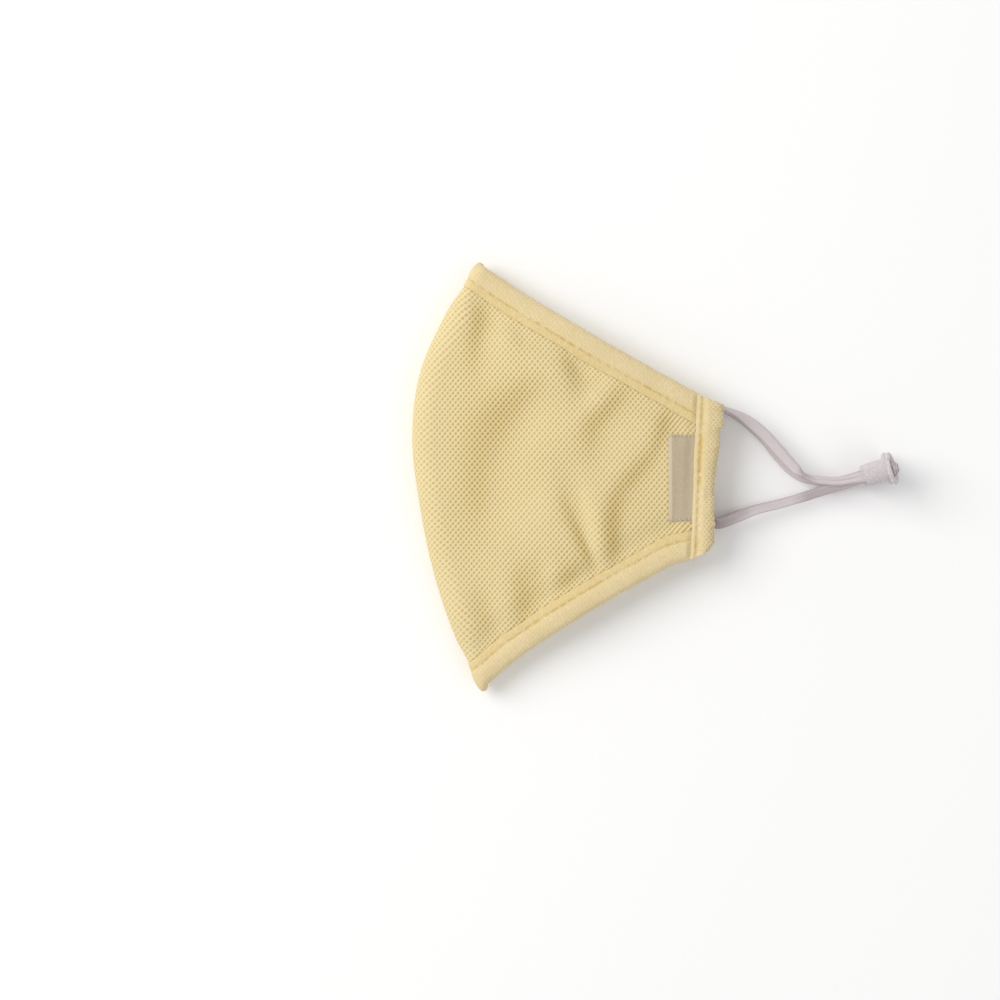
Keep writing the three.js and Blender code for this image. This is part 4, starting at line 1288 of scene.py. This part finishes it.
# label on the knit: a grid laid along the wall, raised by slow ripples, and by a squared sine near both ends
def wovenLabel():
    facts = labelFacts
    rows, columns = facts["grid"]
    y = np.linspace(facts["bottom"], facts["top"], rows)[:, None]
    flap = casingInner(np.interp(y, casingInner(shareTable)[:, 1], shareTable))[..., 0]
    share = np.linspace(0, 1, columns)[None, :]
    x = facts["left"] + (flap + facts["underCasing"] - facts["left"]) * share + waves(y, [facts["sideWave"]])
    y = y + waves(x, [facts["endWave"]]) + 0 * x
    s, w = findCloth(upperHalf, x, y)
    t = toFold(upperHalf, s, w)
    seat = halfThickness(t, w) + facts["gap"]
    deep, run, pace = facts["endPucker"]
    fromEnds = np.minimum(y - facts["bottom"], facts["top"] - y)
    pucker = facts["pucker"] * ripple(x, y, facts["puckerLength"], 12)
    pucker = pucker + deep * fadeOut(fromEnds, 0, run) * np.sin(x * pace) ** 2
    outer = skinOf(upperHalf, t, w, seat + facts["thickness"] + np.maximum(pucker, -facts["gap"]))
    weave = np.stack([y - facts["bottom"], x - facts["left"]], -1)
    return wallPiece("woven_label", outer, skinOf(upperHalf, t, w, seat), labelCloth, "woven_label", weave)


label = wovenLabel()
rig.replaces(label, "label")
sewnOn["left"].append(label)

# the two halves of the cup as cut cloth: their flat sides and area in metres
cutCloth = {"flat": (0.088, 0.131), "area": 0.0083, "held": "folded"}
for panel, word in ((panelLeft, "left"), (panelRight, "right")):
    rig.sheet(
        panel, flat=cutCloth["flat"], area=cutCloth["area"], held=cutCloth["held"], with_pieces=sewnOn[word])
print("label made")

# elastic ear loops and their locks
elasticFacts = {
    "thickness": 0.9, "lockStops": ((-1.0, 0.6), (4.2, 0.8), (9.6, 1.25)),
    "stations": 240, "hiddenStations": 40, "around": 36,
    "corner": (0.6, 0.75), "ribs": 0.5, "curlMiddle": 0.4, "weaveHalf": 1.9,
    "swell": (0.93, 0.06), "fray": (0.965, 0.03), "frayWave": (0.16, 17, 300), "tip": (0.975, 0.025, 0.85),
}
lockFacts = {
    "turned": 156, "points": 130, "lumps": 0.21, "lumpCount": 26, "lumpPitch": 0.75, "smoothRadius": 2.9,
    # radius and distance from the front: sleeve, flange and back through the bore
    "profile": [
        (2.5, 0.1), (2.8, 0.0), (3.1, 0.4), (3.35, 6.5), (3.65, 6.9), (4.4, 7.1),
        (4.9, 7.6), (4.9, 8.0), (4.5, 8.4), (3.6, 8.1), (2.5, 6.9), (2.5, 0.1),
    ],
}
locks = {
    "left": {"front": (90.4, 0.4, 11.4), "turn": 16.5, "tilt": 18.0},
    "right": {"front": (90.2, 0.4, 3.15), "turn": 16.5, "tilt": 13.5},
}
strands = {
    "left": {
        "upper": [
            (42.7, 13.5, 10.7), (43.9, 18.6, 10.5), (47.2, 20.5, 10.0), (51.1, 19.2, 8.9), (55.4, 16.6, 7.5),
            (60.2, 12.6, 6.4), (64.5, 7.8, 6.1), (68.0, 3.9, 6.4), (70.4, 1.5, 7.0), (72.0, 0.3, 7.4),
            (74.2, -0.5, 8.0), (77.8, -1.0, 8.8), (82.5, -1.2, 9.9),
        ],
        "lower": [
            (41.55, -5.5, 10.8), (42.2, -11.0, 10.5), (45.6, -13.9, 9.7), (51.4, -12.2, 7.9),
            (57.4, -10.1, 6.2), (65.1, -8.2, 5.1), (72.9, -5.7, 5.4), (79.6, -3.4, 7.3), (84.4, -1.8, 8.9),
        ],
        "hidden": [(42.6, 8.5, 10.8), (41.75, -1.0, 10.8)],
    },
    "right": {
        "upper": [
            (42.7, 13.5, 2.1), (43.9, 18.4, 2.1), (47.2, 20.1, 1.8), (51.1, 18.6, 1.2), (55.3, 15.8, 0.8),
            (59.9, 11.7, 0.7), (64.0, 6.8, 0.8), (67.5, 2.6, 1.1), (71.4, -0.1, 1.6), (76.5, -1.3, 2.1),
            (82.5, -1.2, 2.7),
        ],
        "lower": [
            (41.55, -5.5, 2.05), (42.2, -10.6, 2.1), (45.7, -13.3, 1.7), (51.4, -11.4, 1.0), (57.4, -9.4, 0.7),
            (65.1, -7.6, 0.6), (72.9, -5.4, 0.6), (79.6, -3.4, 0.9), (84.4, -1.8, 1.3),
        ],
        "hidden": [(42.6, 8.5, 2.05), (41.75, -1.0, 2.05)],
    },
}


# the lock's own axis by its turn and tilt, and the way up that is square to it
def lockAxes(place):
    turn, tilt = math.radians(place["turn"]), math.radians(place["tilt"])
    axis = np.array([math.cos(turn) * math.cos(tilt), math.sin(turn) * math.cos(tilt), math.sin(tilt)])
    up = unit(np.cross(axis, [0, 1, 0]))
    return axis, up if up[2] > 0 else -up


# one value over the whole length
def level(value):
    return [(0, value), (1, value)]


# flat band along a path: level, then turned by the twist, a rounded oblong in section, with ribs as a cosine
# across it, a curl by the square of the distance across, and a swollen, frayed and rounded last end
def bandAlong(points, shape, count):
    facts = elasticFacts
    path = curveThrough(points)
    share = np.linspace(0, 1, count)
    middle = path(share)
    ahead = unit(np.gradient(middle, axis=0))
    wide = unit(np.cross(ahead, [0, 0, 1]))
    up = np.cross(wide, ahead)
    shape = {"shaded": level(0), "curl": level(0), "swell": 0, **shape}
    twist, width, ribs, curl, shaded = (
        np.interp(share, *zip(*shape[key]))[:, None] for key in ("twist", "width", "ribs", "curl", "shaded"))
    angle, share = np.radians(twist), share[:, None]
    wide, up = wide * np.cos(angle) + up * np.sin(angle), up * np.cos(angle) - wide * np.sin(angle)
    around = np.linspace(0, fullTurn, facts["around"], endpoint=False)
    # each cosine and sine raised to a power below one
    sides = zip((np.cos(around), np.sin(around)), facts["corner"])
    a, b = ((np.sign(v) * np.abs(v) ** power)[None, :] for v, power in sides)
    frayDeep, frayAcross, frayAlong = facts["frayWave"]
    swell = 1 + shape["swell"] * riseFrom(share, *facts["swell"])
    fray = shape["swell"] * riseFrom(share, *facts["fray"]) * frayDeep
    fray = fray * np.sin(a * frayAcross + share * frayAlong)
    rounded = np.sqrt(1 - facts["tip"][2] * riseFrom(share, *facts["tip"][:2]) ** 2)
    across = a * width / 2 * (1 + fray) * rounded
    ribbed = 1 + fray - ribs * facts["ribs"] * np.cos(fullTurn * a)
    thick = b * facts["thickness"] / 2 * rounded * swell * ribbed + curl * (a ** 2 - facts["curlMiddle"])
    rings = middle[:, None] + wide[:, None] * across[..., None] + up[:, None] * thick[..., None]
    along = share * path.length
    # the third place is the share of painted shade along the strand
    weave = np.stack(np.broadcast_arrays(along, a * facts["weaveHalf"], shaded), -1)
    weave = np.concatenate([weave.reshape(-1, 3), [[0, 0, shaded[0, 0]], [along[-1, 0], 0, 0]]])
    whole = np.concatenate([rings.reshape(-1, 3), middle[:1], middle[-1:]])
    return whole, tubeFaces(count, len(around)), weave, middle, path.length


# each strand by shares of its length: twist in degrees, width, share of painted shade, ribs and curl
strandShapes = {
    ("left", "upper"): {
        "twist": [
            (0, 0), (0.06, 45), (0.125, 76), (0.2, 50), (0.28, 14), (0.36, 2), (0.5, -6), (0.555, 15),
            (0.59, 72), (0.62, 50), (0.665, 4), (1, 0),
        ],
        "width": [
            (0, 3.4), (0.125, 2.6), (0.28, 3.4), (0.45, 3.5), (0.54, 3.1), (0.6, 2.7), (0.68, 2.5), (0.8, 2.8),
            (0.86, 3.6), (1, 4.3),
        ],
        "shaded": [(0, 0.3), (0.04, 0), (0.55, 0), (0.59, 0.7), (0.62, 0.6), (0.66, 0), (1, 0)],
        "ribs": [(0, 0.25), (0.56, 0.4), (0.66, 1.2), (0.8, 1.2), (0.86, 0.4), (1, 0.2)],
        "curl": [(0, 0.1), (0.25, 0.15), (0.45, -0.3), (0.56, -0.3), (0.66, 0), (1, 0)],
    },
    ("left", "lower"): {
        "twist": [
            (0, -18), (0.1, -42), (0.19, -50), (0.27, -22), (0.35, 6), (0.52, 4), (0.6, -32), (0.7, -34),
            (0.8, -8), (1, 0),
        ],
        "width": [
            (0, 3.6), (0.14, 3.8), (0.24, 3.2), (0.34, 2.6), (0.5, 2.5), (0.6, 3.3), (0.7, 3.8), (0.8, 3.6),
            (1, 4.3),
        ],
        "shaded": [
            (0, 1), (0.17, 0.9), (0.24, 0.35), (0.32, 0), (0.5, 0), (0.58, 0.6), (0.72, 0.5), (0.86, 0),
        ],
        "ribs": [(0, 0.4), (1, 0.3)],
        "curl": [(0, 0.5), (0.13, 1.1), (0.24, 0.8), (0.34, 0.2), (0.6, 0.1), (1, 0)],
    },
    ("right", "upper"): {
        "twist": [(0, 0), (0.3, 8), (0.6, -4), (1, 0)],
        "width": [
            (0, 3.2), (0.1, 1.1), (0.2, 1.2), (0.3, 2.0), (0.42, 2.6), (0.56, 2.2), (0.7, 2.2), (0.84, 3.4),
            (1, 4.3),
        ],
        "ribs": level(0.35),
    },
    ("right", "lower"): {
        "twist": [(0, 0), (0.4, -6), (1, 0)],
        "width": [(0, 3.4), (0.14, 2.4), (0.3, 1.9), (0.5, 1.9), (0.65, 2.6), (0.8, 3.6), (1, 4.3)],
        "ribs": level(0.35),
    },
}
hiddenShape = {"twist": level(0), "width": level(3.8), "ribs": level(0.3)}
lastSwell = 1.9


# strand from its mouth in the casing into its side of the lock
def strandPiece(word, which):
    axis, up = lockAxes(locks[word])
    sign = 1 if which == "upper" else -1
    front = locks[word]["front"]
    inside = [front + axis * stop + up * sign * lift for stop, lift in elasticFacts["lockStops"]]
    shape = {**strandShapes[word, which], "swell": lastSwell}
    points = [*strands[word][which], *inside]
    whole, faces, weave, middle, length = bandAlong(points, shape, elasticFacts["stations"])
    piece = makePiece(f"elastic_{which}_{word}", whole, faces, elasticKnit, "elastic", weave=weave)
    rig.replaces(piece, f"ear_loop_{word}")
    return piece, (middle + cup["originShift"]) / 1000, length / 1000


# the part of the elastic that joins both strands inside the casing
def hiddenStrand(word):
    course = strands[word]
    points = [course["upper"][0], *course["hidden"], course["lower"][0]]
    whole, faces, weave, _, _ = bandAlong(points, hiddenShape, elasticFacts["hiddenStations"])
    piece = makePiece(f"elastic_in_casing_{word}", whole, faces, elasticKnit, "elastic", weave=weave)
    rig.replaces(piece, f"ear_loop_{word}")


# soft sleeve with a flange: a profile turned round the lock's own axis, its lumps a sine round it times a
# cosine along it
def lockSleeve(word):
    facts = lockFacts
    axis, up = lockAxes(locks[word])
    profile = curveThrough(facts["profile"])(np.linspace(0, 1, facts["points"]))[:-1]
    radius, along = profile[None, :, :1], profile[None, :, 1:]
    turn = np.linspace(0, fullTurn, facts["turned"], endpoint=False)[:, None]
    out = up * np.cos(turn) + np.cross(axis, up) * np.sin(turn)
    lumps = facts["lumps"] * np.sin(facts["lumpCount"] * turn)[:, None]
    lumps = lumps * np.cos(along / facts["lumpPitch"] * fullTurn) * (radius > facts["smoothRadius"])
    rings = locks[word]["front"] + axis * along + out[:, None] * (radius + lumps)
    index = np.arange(rings.shape[0] * rings.shape[1]).reshape(rings.shape[:2])
    right, below = np.roll(index, -1, axis=0), np.roll(index, -1, axis=1)
    faces = np.stack([index, right, np.roll(right, -1, axis=1), below], -1).reshape(-1, 4)
    piece = makePiece(f"lock_sleeve_{word}", rings.reshape(-1, 3), faces, softSilicone, "silicone")
    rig.replaces(piece, f"cord_lock_{word}")
    return piece


for word in ("left", "right"):
    lockPiece = lockSleeve(word)
    hiddenStrand(word)
    for which in ("upper", "lower"):
        piece, path, length = strandPiece(word, which)
        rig.cord(
            piece, exit=path[0], length=length, diameter=0.0038, far_end="fitting", stiffness="limp",
            lay="loose", path=path, with_pieces=[lockPiece])
        print(piece.name, "is", round(length * 1000, 1), "mm long")

# pale paper beneath the mask
floorHalf, floorHeight = 1.6, -0.0001      # in metres
corners = [(x * floorHalf, y * floorHalf, floorHeight) for x, y in ((-1, -1), (1, -1), (1, 1), (-1, 1))]
floorMesh = bpy.data.meshes.new("floor")
floorMesh.from_pydata(corners, [], [(0, 1, 2, 3)])
floor = bpy.data.objects.new("floor", floorMesh)
bpy.context.scene.collection.objects.link(floor)
floorMesh.materials.append(paperMaterial())
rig.stage(floor)

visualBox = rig.bounds()
with open("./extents.json", "w") as out:
    json.dump({"cad": [[float(v) for v in corner] for corner in cadBox],
               "visual": [[float(v) for v in corner] for corner in visualBox]}, out)
